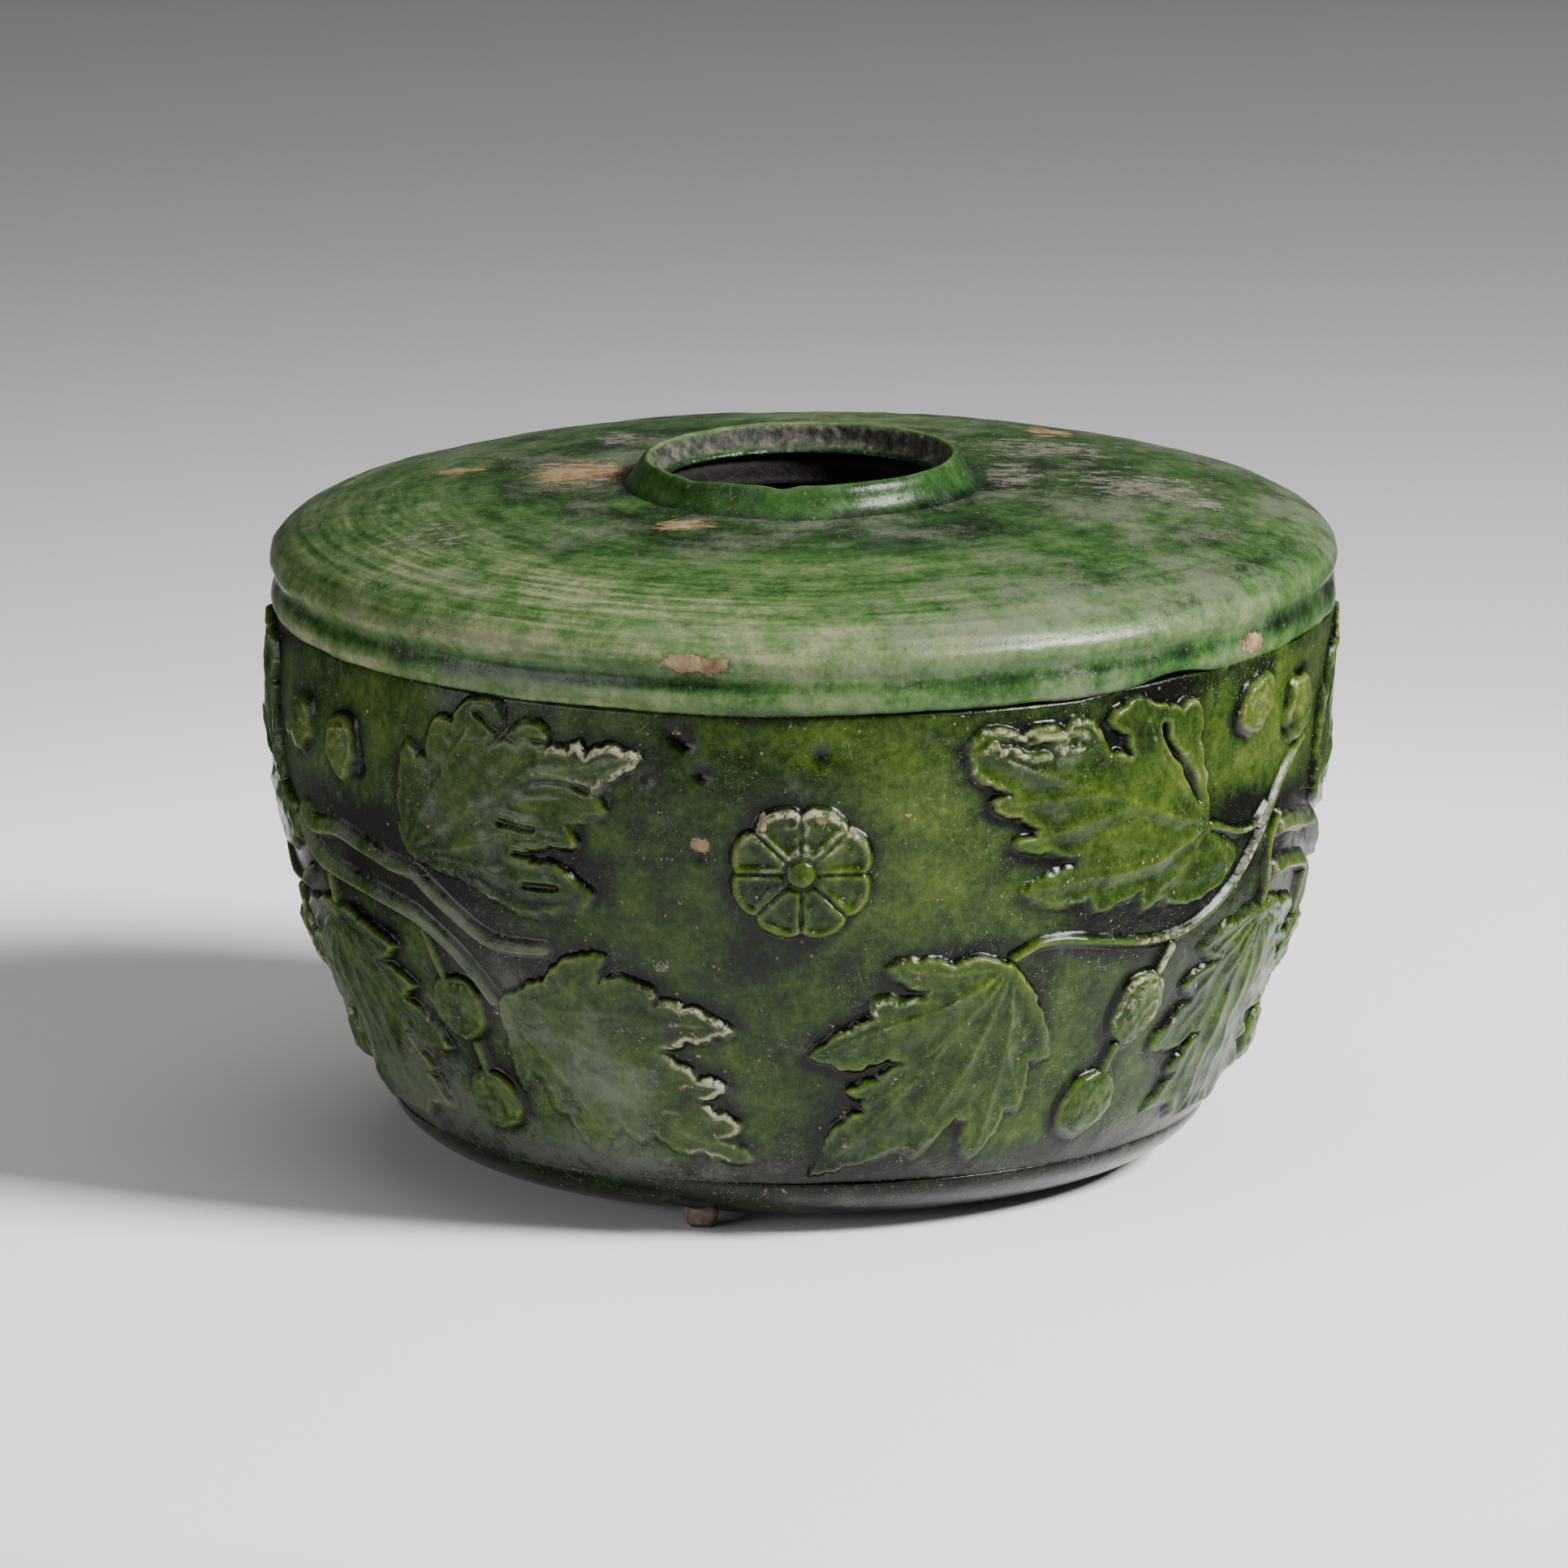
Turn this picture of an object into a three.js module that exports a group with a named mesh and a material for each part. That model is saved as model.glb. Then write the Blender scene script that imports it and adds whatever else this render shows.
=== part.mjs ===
// Squat green-glazed water pot: a pressed bowl with vine sprigs luted on, a shoulder slab that overhangs it,
// and a small mouth collar. Millimetres, +Z up, origin on the surface under the pot's axis.
// The front rosette faces -Y, and angles run round the pot from it towards +X.
import * as THREE from 'three';

// Foot
const SPUR_HEIGHT = 1.2;             // kiln spurs hold the pot this far clear of the surface
const SPUR_RADIUS = 2.9;
const SPUR_TIP = 1.7;                // radius of the broken tip that the pot rests on
const SPUR_OVERREACH = 2.0;          // a spur's middle lies this far outside the flat underside
const SPUR_SIDES = 12;
const FIRST_SPUR = -15.6;            // degrees round the pot from the front rosette
const SPURS = 3;
const BASE_RADIUS = 40.9;            // flat underside
const RECESS_DEPTH = 1.0;            // shallow hollow trimmed into the underside
const RECESS_MARGIN = 5.5;
const FOOT_FLARE = 7.5;              // the disc widens by this much up to the raised line round it
const FOOT_RISE = 4.4;               // height of that line above the underside
const FLARE_BEND = { out: 0.75, up: 0.4 };  // where the flare bends: share of its widening, share of its rise

// Bowl
const BOWL_RADIUS = 63.9;            // at the seam
const SEAM_HEIGHT = 67.6;
const WALL = 4.6;

// Shoulder slab
const OVERHANG = 1.4;                // the slab stands out this far over the bowl
const BAND_HEIGHT = 6.4;             // upright band round its edge
const BAND_GROOVE = 0.5;             // soft groove between the band's two ridges
const SLOPE_RISE = 7.2;              // from the band's top edge in to the collar
const SLAB = 4.2;                    // thickness

// Mouth collar
const MOUTH_RADIUS = 17.8;
const LIP = 1.6;                     // thickness at the lip
const COLLAR_FLARE = 3.0;            // the collar's foot is this much wider than its lip
const COLLAR_HEIGHT = 4.6;

// Vine relief
const SLIP = 0.35;                   // layer of slip between the thrown pieces
const SPRIG_SLIP = 0.58;             // layer of slip under the relief
const LEAF_EDGE = 0.9;               // height of a leaf's edge off the clay
const LEAF_BODY = 1.2;
const VEIN = 0.35;                   // the veins stand this much higher
const BERRY_RISE = 2.4;
const BERRY_SHOULDER = 1.8;          // height of the berry's domed side
const STEM_RISE = 1.2;
const ROSETTE_RADIUS = 8.2;
const ROSETTE_HEIGHT = 48.5;         // of its centre, on the drawing
const PETALS = 8;
const BOSS_RISE = 2.4;
const PETAL_RIM = 1.7;
const PETAL_SIDE = 1.5;              // height of a petal beside its groove
const PETAL_DISH = 1.1;              // height of its dished middle
const PETAL_GROOVE = 0.95;
const SPRAYS = 3;                    // vine sprays round the bowl, with a rosette between each two
const LEAF_FOOT_GAP = 3.3;           // clear height between the foot and the lowest leaf
const LEAF_TOP_GAP = 0.7;            // clear height between the highest leaf and the seam
const FORK_GAP = 17.4;               // clear width between the two upper leaves of a spray

const SIDES = 48;                    // facets round the pot
const PITCH = 2 * Math.PI / SPRAYS;
const DEG = Math.PI / 180;
const SPUR_CORNERS = 3;
const SPUR_CORNER = 0.15;            // share by which a spur's corners stand out
const GREEN = { color: 0x3f6a2a, roughness: 0.3, metalness: 0 };
const BRIGHT_GREEN = { color: 0x4f7f31, roughness: 0.28, metalness: 0 };
const CLAY = { color: 0xb08868, roughness: 0.9, metalness: 0 };
const pot = new THREE.Group();

function add(name, geometry, look) {
  const mesh = new THREE.Mesh(geometry, new THREE.MeshStandardMaterial(look));
  mesh.name = name;
  pot.add(mesh);
}

// Turns a profile of [radius, height] points round the pot's axis.
function turned(points) {
  const geometry = new THREE.LatheGeometry(points.map(([r, z]) => new THREE.Vector2(r, z)), SIDES);
  geometry.rotateX(Math.PI / 2);
  return geometry;
}

const turnedRing = points => turned([...points, points[0]]);

const FOOT_RADIUS = BASE_RADIUS + FOOT_FLARE;
const BOWL_FOOT = SPUR_HEIGHT + FOOT_RISE;
const BOWL_HEIGHT = SEAM_HEIGHT - BOWL_FOOT;

// The bowl's swell: share of its height, and share of the widening from the foot to the seam reached there.
const SWELL = [[0, 0], [0.05, 0.17], [0.1, 0.31], [0.18, 0.45], [0.3, 0.6], [0.46, 0.81], [0.65, 0.96],
  [0.84, 1.02], [1, 1]];

function bowlRadius(z) {
  const share = THREE.MathUtils.clamp((z - BOWL_FOOT) / BOWL_HEIGHT, 0, 1);
  const above = Math.max(1, SWELL.findIndex(([height]) => height >= share));
  const [low, lowGain] = SWELL[above - 1];
  const [high, highGain] = SWELL[above];
  const gain = THREE.MathUtils.mapLinear(share, low, high, lowGain, highGain);
  return THREE.MathUtils.lerp(FOOT_RADIUS, BOWL_RADIUS, gain);
}

function baseDisc() {
  const recess = SPUR_HEIGHT + RECESS_DEPTH;
  const top = BOWL_FOOT - SLIP;
  return turned([[0, recess], [BASE_RADIUS - RECESS_MARGIN, recess],
    [BASE_RADIUS - RECESS_MARGIN + RECESS_DEPTH, SPUR_HEIGHT], [BASE_RADIUS, SPUR_HEIGHT],
    [BASE_RADIUS + FLARE_BEND.out * FOOT_FLARE, SPUR_HEIGHT + FLARE_BEND.up * FOOT_RISE],
    [FOOT_RADIUS, top], [0, top]]);
}

// Height of the underside at a radius out on the flare
function undersideAt(radius) {
  const widened = Math.max(radius - BASE_RADIUS, 0) / (FLARE_BEND.out * FOOT_FLARE);
  return SPUR_HEIGHT + widened * FLARE_BEND.up * FOOT_RISE;
}

// A three-sided lump of clay that broke off the kiln stand. Its top is moulded to the edge of the base.
function kilnSpur(degrees) {
  const reach = BASE_RADIUS + SPUR_OVERREACH;
  const angle = degrees * DEG;
  const centre = [reach * Math.sin(angle), -reach * Math.cos(angle)];
  const topAt = (x, y) => [x, y, undersideAt(Math.hypot(x, y)) - SLIP];
  const round = Array.from({ length: SPUR_SIDES }, (_, i) => {
    const turn = 2 * Math.PI * i / SPUR_SIDES;
    const threeSided = 1 + SPUR_CORNER * Math.cos(SPUR_CORNERS * turn);
    return [threeSided * Math.cos(turn), threeSided * Math.sin(turn)];
  });
  const restAt = (x, y) => [x, y, 0];
  const ring = (radius, placeAt) => round.flatMap(([x, y]) =>
    placeAt(centre[0] + radius * x, centre[1] + radius * y));
  const positions = [...restAt(...centre), ...ring(SPUR_TIP, restAt), ...ring(SPUR_RADIUS, topAt),
    ...topAt(...centre)];
  const last = 2 * SPUR_SIDES + 1;
  const faces = round.flatMap((_, i) => {
    const [a, b] = [1 + i, 1 + (i + 1) % SPUR_SIDES];
    const [c, d] = [a + SPUR_SIDES, b + SPUR_SIDES];
    return [0, b, a, a, b, d, a, d, c, c, d, last];
  });
  return closedMesh(positions, faces);
}

function bowl() {
  const heights = SWELL.map(([share]) => BOWL_FOOT + share * BOWL_HEIGHT);
  const outside = heights.map(z => [bowlRadius(z), z]);
  const inside = heights.slice(1).map(z => [bowlRadius(z) - WALL, z]).reverse();
  return turnedRing([...outside, ...inside, [FOOT_RADIUS - 2 * WALL, BOWL_FOOT]]);
}

const SLAB_FOOT = SEAM_HEIGHT + SLIP;
const BAND_TOP = SLAB_FOOT + BAND_HEIGHT;
const COLLAR_FOOT = BAND_TOP + SLOPE_RISE;
const SLAB_RADIUS = BOWL_RADIUS + OVERHANG;
const LIP_RADIUS = MOUTH_RADIUS + LIP;
const COLLAR_RADIUS = LIP_RADIUS + COLLAR_FLARE;

// The slab's rounded edge and slope: share of the way in from the band to the collar, share of the rise.
const SLOPE = [[0.04, 0.26], [0.12, 0.51], [0.29, 0.75], [0.62, 0.94], [1, 1]];

// The band's two ridges: share of the groove's depth that they stand out, share of the band's height
const BAND_RIDGES = [[0, 0], [1, 0.2], [0, 0.5], [0.6, 0.8], [0, 1]];

// The slab's underside follows its slope, drawn in by this share of its thickness, to a knee in the corner.
const UNDERSIDE_INSET = 0.3;
const CORNER_KNEE = { inset: 1.5, up: 0.6 };  // in wall thicknesses, in band heights

function shoulder() {
  const edge = SLAB_RADIUS - BAND_GROOVE;
  const band = BAND_RIDGES.map(([out, up]) => [edge + out * BAND_GROOVE, SLAB_FOOT + up * BAND_HEIGHT]);
  const slope = SLOPE.map(([way, rise]) => [
    THREE.MathUtils.lerp(edge, COLLAR_RADIUS, way), BAND_TOP + rise * SLOPE_RISE]);
  const underside = slope.slice(2).map(([r, z]) => [r - UNDERSIDE_INSET * SLAB, z - SLAB]).reverse();
  const knee = [BOWL_RADIUS - CORNER_KNEE.inset * WALL, SLAB_FOOT + CORNER_KNEE.up * BAND_HEIGHT];
  return turnedRing([[BOWL_RADIUS - WALL, SLAB_FOOT], ...band, ...slope, [MOUTH_RADIUS, COLLAR_FOOT],
    ...underside, knee]);
}

// The collar's hollow outside: share of its flare left, share of its height
const COLLAR_CURVE = [[1, 0], [0.45, 0.3], [0.12, 0.76], [0, 1]];
const LIP_ROUNDING = { in: 0.5, down: 0.3 };  // in lip thicknesses, in collar heights

function collar() {
  const foot = COLLAR_FOOT + SLIP;
  const lip = COLLAR_FOOT + COLLAR_HEIGHT;
  const outside = COLLAR_CURVE.map(([flare, up]) => [
    LIP_RADIUS + flare * COLLAR_FLARE, THREE.MathUtils.lerp(foot, lip, up)]);
  return turnedRing([...outside, [LIP_RADIUS - LIP_ROUNDING.in * LIP, lip],
    [MOUTH_RADIUS, lip - LIP_ROUNDING.down * COLLAR_HEIGHT], [MOUTH_RADIUS, foot]]);
}

// The sprays are drawn flat. u runs round the bowl from the rosette beside the piece, v is the height.
// Leaf outlines run from the stalk over the tips and the notches between them.
const LEAVES = {
  leaf_lower_left: {
    eye: [25, 33],
    outline: [[25.7, 35.9], [20.2, 36.9], [14.3, 37.2], [10.3, 36.2], [15.3, 33], [12.3, 32.5],
      [9.7, 32.2], [8.2, 31.4], [8.7, 29.7], [6, 28.6], [0.9, 25], [5.8, 23.2], [11.5, 24.1], [5.6, 20.1],
      [8.1, 18.8], [4, 15.2], [1.2, 8.9], [9.5, 10.3], [13.2, 12.1], [16.2, 10.6], [18, 13.2],
      [21.2, 15.9], [24.3, 9.6], [26.3, 12], [28, 15], [27.8, 16.7], [30.2, 16.3], [30.5, 20],
      [30, 22.7], [33.2, 22.6], [31.9, 27], [29, 31.6], [27, 35]],
  },
  leaf_upper_left: {
    eye: [50, 50],
    outline: [[53.6, 50.2], [51.6, 57], [50.8, 64], [49.6, 65.6], [46.3, 62], [43.5, 65.5], [40, 66.8],
      [36.8, 64], [37.8, 60.6], [33, 64.3], [28.5, 65.2], [21.2, 65], [19.3, 61.8], [24.3, 57.3],
      [22.2, 56.2], [28.4, 52.8], [25.4, 51.2], [33.7, 48.2], [30, 46.4], [26.5, 44.2], [31, 42.6],
      [35.3, 43.2], [36.6, 40.8], [42.7, 42.8], [44.2, 40.1], [47.5, 41], [52.3, 40], [57.5, 41.4],
      [60.4, 44.8], [57.2, 46.6], [54.2, 48.3]],
  },
  leaf_lower_right: {
    eye: [-37.5, 27.5],
    outline: [[-39.7, 29.4], [-32.2, 32.9], [-29.8, 35], [-24, 36.9], [-24.9, 33.6],
      [-21, 33.9], [-18.2, 33.2], [-18, 31.3], [-14, 31.1], [-8.7, 28.1], [-11.5, 26.9], [-18, 25.2],
      [-13.5, 21.6], [-9.8, 20.6], [-13.6, 18.6], [-11.5, 17], [-8.2, 15.4], [-10.8, 13.4], [-6.6, 10.9],
      [-10.5, 10.5], [-16.9, 11.3], [-20.4, 13.3], [-22.6, 12.2], [-25, 14.6], [-30.4, 10.1], [-33.3, 14.7],
      [-35.4, 15.3], [-36.2, 19], [-37.4, 19.5], [-40, 17.4], [-40.7, 20], [-39.8, 27]],
  },
  leaf_upper_right: {
    eye: [-48, 48.5],
    outline: [[-51.4, 46.4], [-52, 50.5], [-51.8, 56.8], [-50.2, 60.2], [-47, 58.9], [-46.6, 62.3],
      [-44.6, 64.2], [-41.6, 66.2], [-37.8, 67], [-36.3, 66.8], [-36.9, 62.2], [-32.8, 64.8],
      [-30.8, 64.7], [-30.4, 61.9], [-26.2, 63.2], [-25.2, 61.6], [-22.2, 63], [-18.7, 62],
      [-24.6, 57.3], [-22.8, 55], [-27.5, 53.2], [-26.5, 50.5], [-32.8, 49.6], [-28.8, 47.9], [-25, 44.2],
      [-25.6, 42.2], [-31.5, 40.9], [-37.5, 42.2], [-43.8, 45], [-48.5, 45.2]],
  },
};

// Right half of the leaf that hangs in the middle of a spray, its u measured from the leaf's own middle.
const MIDDLE_LEAF = {
  eye: [0, 31],
  half: [[0.8, 36.2], [6.1, 35.4], [13.3, 33.3], [8.4, 30.8], [14.9, 28.6], [12.3, 26.6], [18, 20.9],
    [12, 20.1], [8.6, 21.6], [12.3, 17.2], [10.9, 16.7], [14.2, 12.3], [9, 12.4], [5.4, 9.6]],
  point: [0, 9.9],
};

// Berries: centre, radius and the far end of the stalk, on the drawing of their own side of the spray.
const BERRIES = {
  berry_left_1: { at: [46, 27.3], radius: 4.1, stalk: [49.6, 34.4] },
  berry_left_2: { at: [41.4, 15.4], radius: 4.2, stalk: [43.8, 22.2] },
  berry_right_1: { at: [-46.9, 27.2], radius: 4.1, stalk: [-49.9, 36.6] },
  berry_right_2: { at: [-45.2, 15.3], radius: 4.0, stalk: [-46, 22.2] },
};
const BUD_RADIUS = 3.0;

// Width and height of the drawing, stretched below to the bowl's own girth and height.
const drawn = Object.values(LEAVES).flatMap(({ outline }) => outline);
const reach = Math.max(...drawn.map(([u]) => u)) - Math.min(...drawn.map(([u]) => u));
const SPRAY_WIDTH = reach + FORK_GAP;
const LOWEST = Math.min(...drawn.map(([, v]) => v));
const HIGHEST = Math.max(...drawn.map(([, v]) => v));
const MIDDLE = SPRAY_WIDTH / 2;

// The point of the bowl under [u, v] of the drawing, lift out from the clay. panel says which rosette is 0.
function onBowl(panel, u, v, lift) {
  const angle = (panel + u / SPRAY_WIDTH) * PITCH;
  const z = THREE.MathUtils.mapLinear(v, LOWEST, HIGHEST,
    BOWL_FOOT + LEAF_FOOT_GAP, SEAM_HEIGHT - LEAF_TOP_GAP);
  const r = bowlRadius(z) + lift;
  return [r * Math.sin(angle), -r * Math.cos(angle), z];
}

function closedMesh(positions, faces) {
  const geometry = new THREE.BufferGeometry();
  geometry.setAttribute('position', new THREE.Float32BufferAttribute(positions, 3));
  geometry.setIndex(faces);
  return geometry;
}

// A closed sprig pressed on to the bowl. Its outline is seen whole from its eye. front gives, from the eye
// out, each ring's share of the outline and its lift, which may depend on the point's number. seat gives the
// shares of the rings on the back, which follow the bowl.
function sprig(panel, eye, outline, front, seat, shift = 0) {
  const positions = [];
  const faces = [];
  const count = outline.length;
  const place = (share, [u, v], lift) => positions.push(...onBowl(panel,
    shift + THREE.MathUtils.lerp(eye[0], u, share), THREE.MathUtils.lerp(eye[1], v, share), lift));
  const face = (rings, outward) => {
    const first = positions.length / 3;
    place(0, eye, rings[0][1](0));
    rings.slice(1).forEach(([share, lift]) => outline.forEach((point, i) => place(share, point, lift(i))));
    const triangle = (a, b, c) => faces.push(...(outward ? [a, b, c] : [a, c, b]));
    for (let i = 0; i < count; i++) {
      const next = (i + 1) % count;
      triangle(first, first + 1 + i, first + 1 + next);
      for (let ring = 1; ring < rings.length - 1; ring++) {
        const inner = first + 1 + (ring - 1) * count;
        triangle(inner + i, inner + count + i, inner + count + next);
        triangle(inner + i, inner + count + next, inner + next);
      }
    }
    return positions.length / 3 - count;
  };
  const rim = face(front, true);
  const back = face(seat.map(share => [share, () => SPRIG_SLIP]), false);
  for (let i = 0; i < count; i++) {
    const next = (i + 1) % count;
    faces.push(rim + i, back + i, back + next, rim + i, back + next, rim + next);
  }
  return closedMesh(positions, faces);
}

// Outlines are turned to run anticlockwise, so that their faces point out.
function anticlockwise(outline) {
  const area = outline.reduce((sum, [u, v], i) => {
    const [nextU, nextV] = outline[(i + 1) % outline.length];
    return sum + u * nextV - nextU * v;
  }, 0);
  return area > 0 ? outline : [...outline].reverse();
}

// Rings of the sprigs' fronts and backs, as shares of the way from the eye to the outline
const LEAF_RINGS = [0.4, 0.7];
const LEAF_SEAT = [0, 0.24, 0.48, 0.7, 0.87, 1];
const BERRY_RING = 0.6;
const BERRY_SEAT = [0, 1];
const ROSETTE_RINGS = { boss: 0.18, round_boss: 0.26, dish: 0.6, rim: 0.88 };
const ROSETTE_SEAT = [0, 0.5, 1];

// A leaf's veins run from its eye to each tip, a point of the outline further out than both its neighbours.
function leaf(panel, { eye, outline }, shift) {
  const points = anticlockwise(outline);
  const far = points.map(([u, v]) => Math.hypot(u - eye[0], v - eye[1]));
  const vein = i => (far[i] > far.at(i - 1) && far[i] > far[(i + 1) % far.length] ? VEIN : 0);
  const body = i => LEAF_BODY + vein(i);
  const middle = LEAF_RINGS.map(share => [share, body]);
  const front = [[0, () => LEAF_BODY + VEIN], ...middle, [1, () => LEAF_EDGE]];
  return sprig(panel, eye, points, front, LEAF_SEAT, shift);
}

function middleLeaf() {
  const mirrored = MIDDLE_LEAF.half.map(([u, v]) => [-u, v]).reverse();
  return { eye: MIDDLE_LEAF.eye, outline: [...MIDDLE_LEAF.half, MIDDLE_LEAF.point, ...mirrored] };
}

const BERRY_POINTS = 11;
const STALK = 0.6;                   // half width of a berry's stalk

// A berry is a dome whose outline runs out along its stalk between two of its points.
function berry(panel, { at, radius, stalk }, shift) {
  const [stalkU, stalkV] = [stalk[0] - at[0], stalk[1] - at[1]];
  const lean = Math.atan2(stalkV, stalkU);
  const length = Math.hypot(stalkU, stalkV);
  const round = Array.from({ length: BERRY_POINTS }, (_, i) => {
    const angle = lean + 2 * Math.PI * (i + 0.5) / BERRY_POINTS;
    return [at[0] + radius * Math.cos(angle), at[1] + radius * Math.sin(angle)];
  });
  const end = side => [stalk[0] + side * STALK * stalkV / length, stalk[1] - side * STALK * stalkU / length];
  const outline = length > radius ? [...round, end(1), end(-1)] : round;
  const dome = i => (i < BERRY_POINTS ? BERRY_SHOULDER : STEM_RISE);
  const front = [[0, () => BERRY_RISE], [BERRY_RING, dome], [1, () => LEAF_EDGE]];
  return sprig(panel, at, outline, front, BERRY_SEAT, shift);
}

// Rosette: a round boss, then dished petals with raised rims and a groove between each two.
const PETAL_STEPS = 4;
const SCALLOP = 0.93;                // share of the radius left at the notch between two petals
function rosette(panel) {
  const count = PETALS * PETAL_STEPS;
  const groove = i => i % PETAL_STEPS === 0;
  const middle = i => i % PETAL_STEPS === PETAL_STEPS / 2;
  const outline = Array.from({ length: count }, (_, i) => {
    const angle = 2 * Math.PI * i / count;
    const r = ROSETTE_RADIUS * (groove(i) ? SCALLOP : 1);
    return [r * Math.cos(angle), ROSETTE_HEIGHT + r * Math.sin(angle)];
  });
  const boss = () => BOSS_RISE;
  const rim = i => (groove(i) ? PETAL_GROOVE : PETAL_RIM);
  const side = i => (groove(i) ? PETAL_GROOVE : PETAL_SIDE);
  const dish = i => (middle(i) ? PETAL_DISH : side(i));
  const front = [[0, boss], [ROSETTE_RINGS.boss, boss], [ROSETTE_RINGS.round_boss, () => PETAL_GROOVE],
    [ROSETTE_RINGS.dish, dish], [ROSETTE_RINGS.rim, rim], [1, () => LEAF_EDGE]];
  return sprig(panel, [0, ROSETTE_HEIGHT], outline, front, ROSETTE_SEAT);
}

// Corners of a stem's section, from its middle: share of its width, and lift off the clay
const STEM_SECTION = [[-0.5, SPRIG_SLIP], [0.5, SPRIG_SLIP], [0.25, STEM_RISE], [-0.25, STEM_RISE]];

// A stem laid on the bowl along a path of [u, v] points: flat below, narrower on top.
function stem(panel, path, width) {
  const positions = [];
  const faces = [];
  path.forEach(([u, v], i) => {
    const [before, after] = [path[Math.max(i - 1, 0)], path[Math.min(i + 1, path.length - 1)]];
    const run = Math.hypot(after[0] - before[0], after[1] - before[1]);
    const across = [-(after[1] - before[1]) / run, (after[0] - before[0]) / run];
    STEM_SECTION.forEach(([side, lift]) => {
      positions.push(...onBowl(panel, u + side * width * across[0], v + side * width * across[1], lift));
    });
  });
  for (let i = 0; i < path.length - 1; i++) {
    for (let k = 0; k < 4; k++) {
      const [a, b] = [4 * i + k, 4 * i + (k + 1) % 4];
      faces.push(a, b + 4, a + 4, a, b, b + 4);
    }
  }
  const end = 4 * (path.length - 1);
  faces.push(0, 2, 1, 0, 3, 2, end, end + 1, end + 2, end, end + 2, end + 3);
  return closedMesh(positions, faces);
}

// Stems on the drawing. CLIMB, the middle stalks and the ribbons' starts are placed from the middle leaf, the
// rest from the rosette beside them.
const STALK_LEFT = [[27.4, 36.9], [29.4, 37.8], [33, 38], [38.4, 37.1], [44.4, 36.1], [50.2, 36.1]];
const STALK_LEFT_END = [[52.6, 37.4], [55.4, 38.9]];
const CLIMB = [[-13.7, 37.5], [-9.6, 40], [-6.2, 43.3], [-2.9, 47.3], [0.4, 51.4], [3.4, 53.9], [7.1, 55.6]];
const UPPER_STALK = [[55.4, 49.4], [57.3, 48.2], [60.2, 47.3], [62.6, 47.1]];
const MIDDLE_STALK = [[0.6, 47.4], [-0.6, 44.8], [-0.8, 42.4], [0.2, 39.3], [0, 37.2]];
const MIDDLE_STALK_SHORT = [[-0.2, 39.7], [0, 37.2]];
const RIBBON_UPPER = [[-60.3, 45.6], [-54.8, 44.3], [-50.7, 43.9], [-47.3, 41.7], [-44, 39.5], [-40.3, 37.4],
  [-37, 36.7]];
const RIBBON_LOWER = [[-60.3, 40.3], [-54.8, 39.3], [-51.1, 38.4], [-47.3, 36.3], [-44, 33.8], [-41.9, 31.4],
  [-41.2, 30.2]];
const RIBBON_UPPER_START = [2.2, 45.6];
const RIBBON_LOWER_START = [2.4, 40.2];
const FORK_UPPER = [[-75, 47], [-73.4, 45.7], [-71.5, 45.4], [-68.2, 46], [-65.3, 46.3]];
const FORK_LOWER = [[-75.7, 45], [-74, 43], [-70.7, 41.4], [-66.5, 40.9]];
const STALK_WIDTH = 1.6;
const RIBBON_WIDTH = 1.4;
const PETIOLE_WIDTH = 1.3;

const moved = (path, du) => path.map(([u, v]) => [u + du, v]);

// Stems of a spray whose vine climbs to the right of its middle leaf. The middle leaf hangs at centre, u
// from the spray's middle, and the right half of the spray is moved by right.
function vineToTheRight(centre, right) {
  const leafPlace = MIDDLE + centre;
  const ribbon = (start, path) => [...moved([start], centre - MIDDLE), ...moved(path, right)];
  return {
    vine: [[...STALK_LEFT, ...moved(CLIMB, leafPlace)], STALK_WIDTH],
    upper_stalk: [UPPER_STALK, PETIOLE_WIDTH],
    middle_stalk: [moved(MIDDLE_STALK, leafPlace), PETIOLE_WIDTH],
    ribbon_upper: [ribbon(RIBBON_UPPER_START, RIBBON_UPPER), RIBBON_WIDTH],
    ribbon_lower: [ribbon(RIBBON_LOWER_START, RIBBON_LOWER), RIBBON_WIDTH],
  };
}

// Stems of a spray whose two ribbons spring from one place left of its middle leaf.
function vineToTheLeft(centre, left) {
  return {
    vine: [moved([...STALK_LEFT, ...STALK_LEFT_END], left), STALK_WIDTH],
    middle_stalk: [moved(MIDDLE_STALK_SHORT, centre - MIDDLE), PETIOLE_WIDTH],
    ribbon_upper: [[...FORK_UPPER, ...RIBBON_UPPER], RIBBON_WIDTH],
    ribbon_lower: [[...FORK_LOWER, ...RIBBON_LOWER], RIBBON_WIDTH],
  };
}

// Sprigs were pressed on by hand, so each spray has some of them moved round the bowl. Buds and the middle
// leaf are placed from the spray's middle, in the same drawing.
const SPRAY_PLACES = [
  { centre: 4, climbs: 'right', moves: { upper_right: 5, lower_right: 5, right: 5 },
    buds: [[-3.1, 62.6], [8.1, 60.2]] },
  { centre: 3, climbs: 'right', moves: { upper_right: 4.5, lower_right: 3.5, right: 4 },
    buds: [[-3.4, 62.4], [7.4, 60.4]] },
  { centre: -4.6, climbs: 'left', moves: { upper_left: -8, lower_left: -2.6, left: -5 },
    buds: [[1.7, 57.2], [-9.3, 58]] },
];
const LEFT_HALF = /left/;

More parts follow.
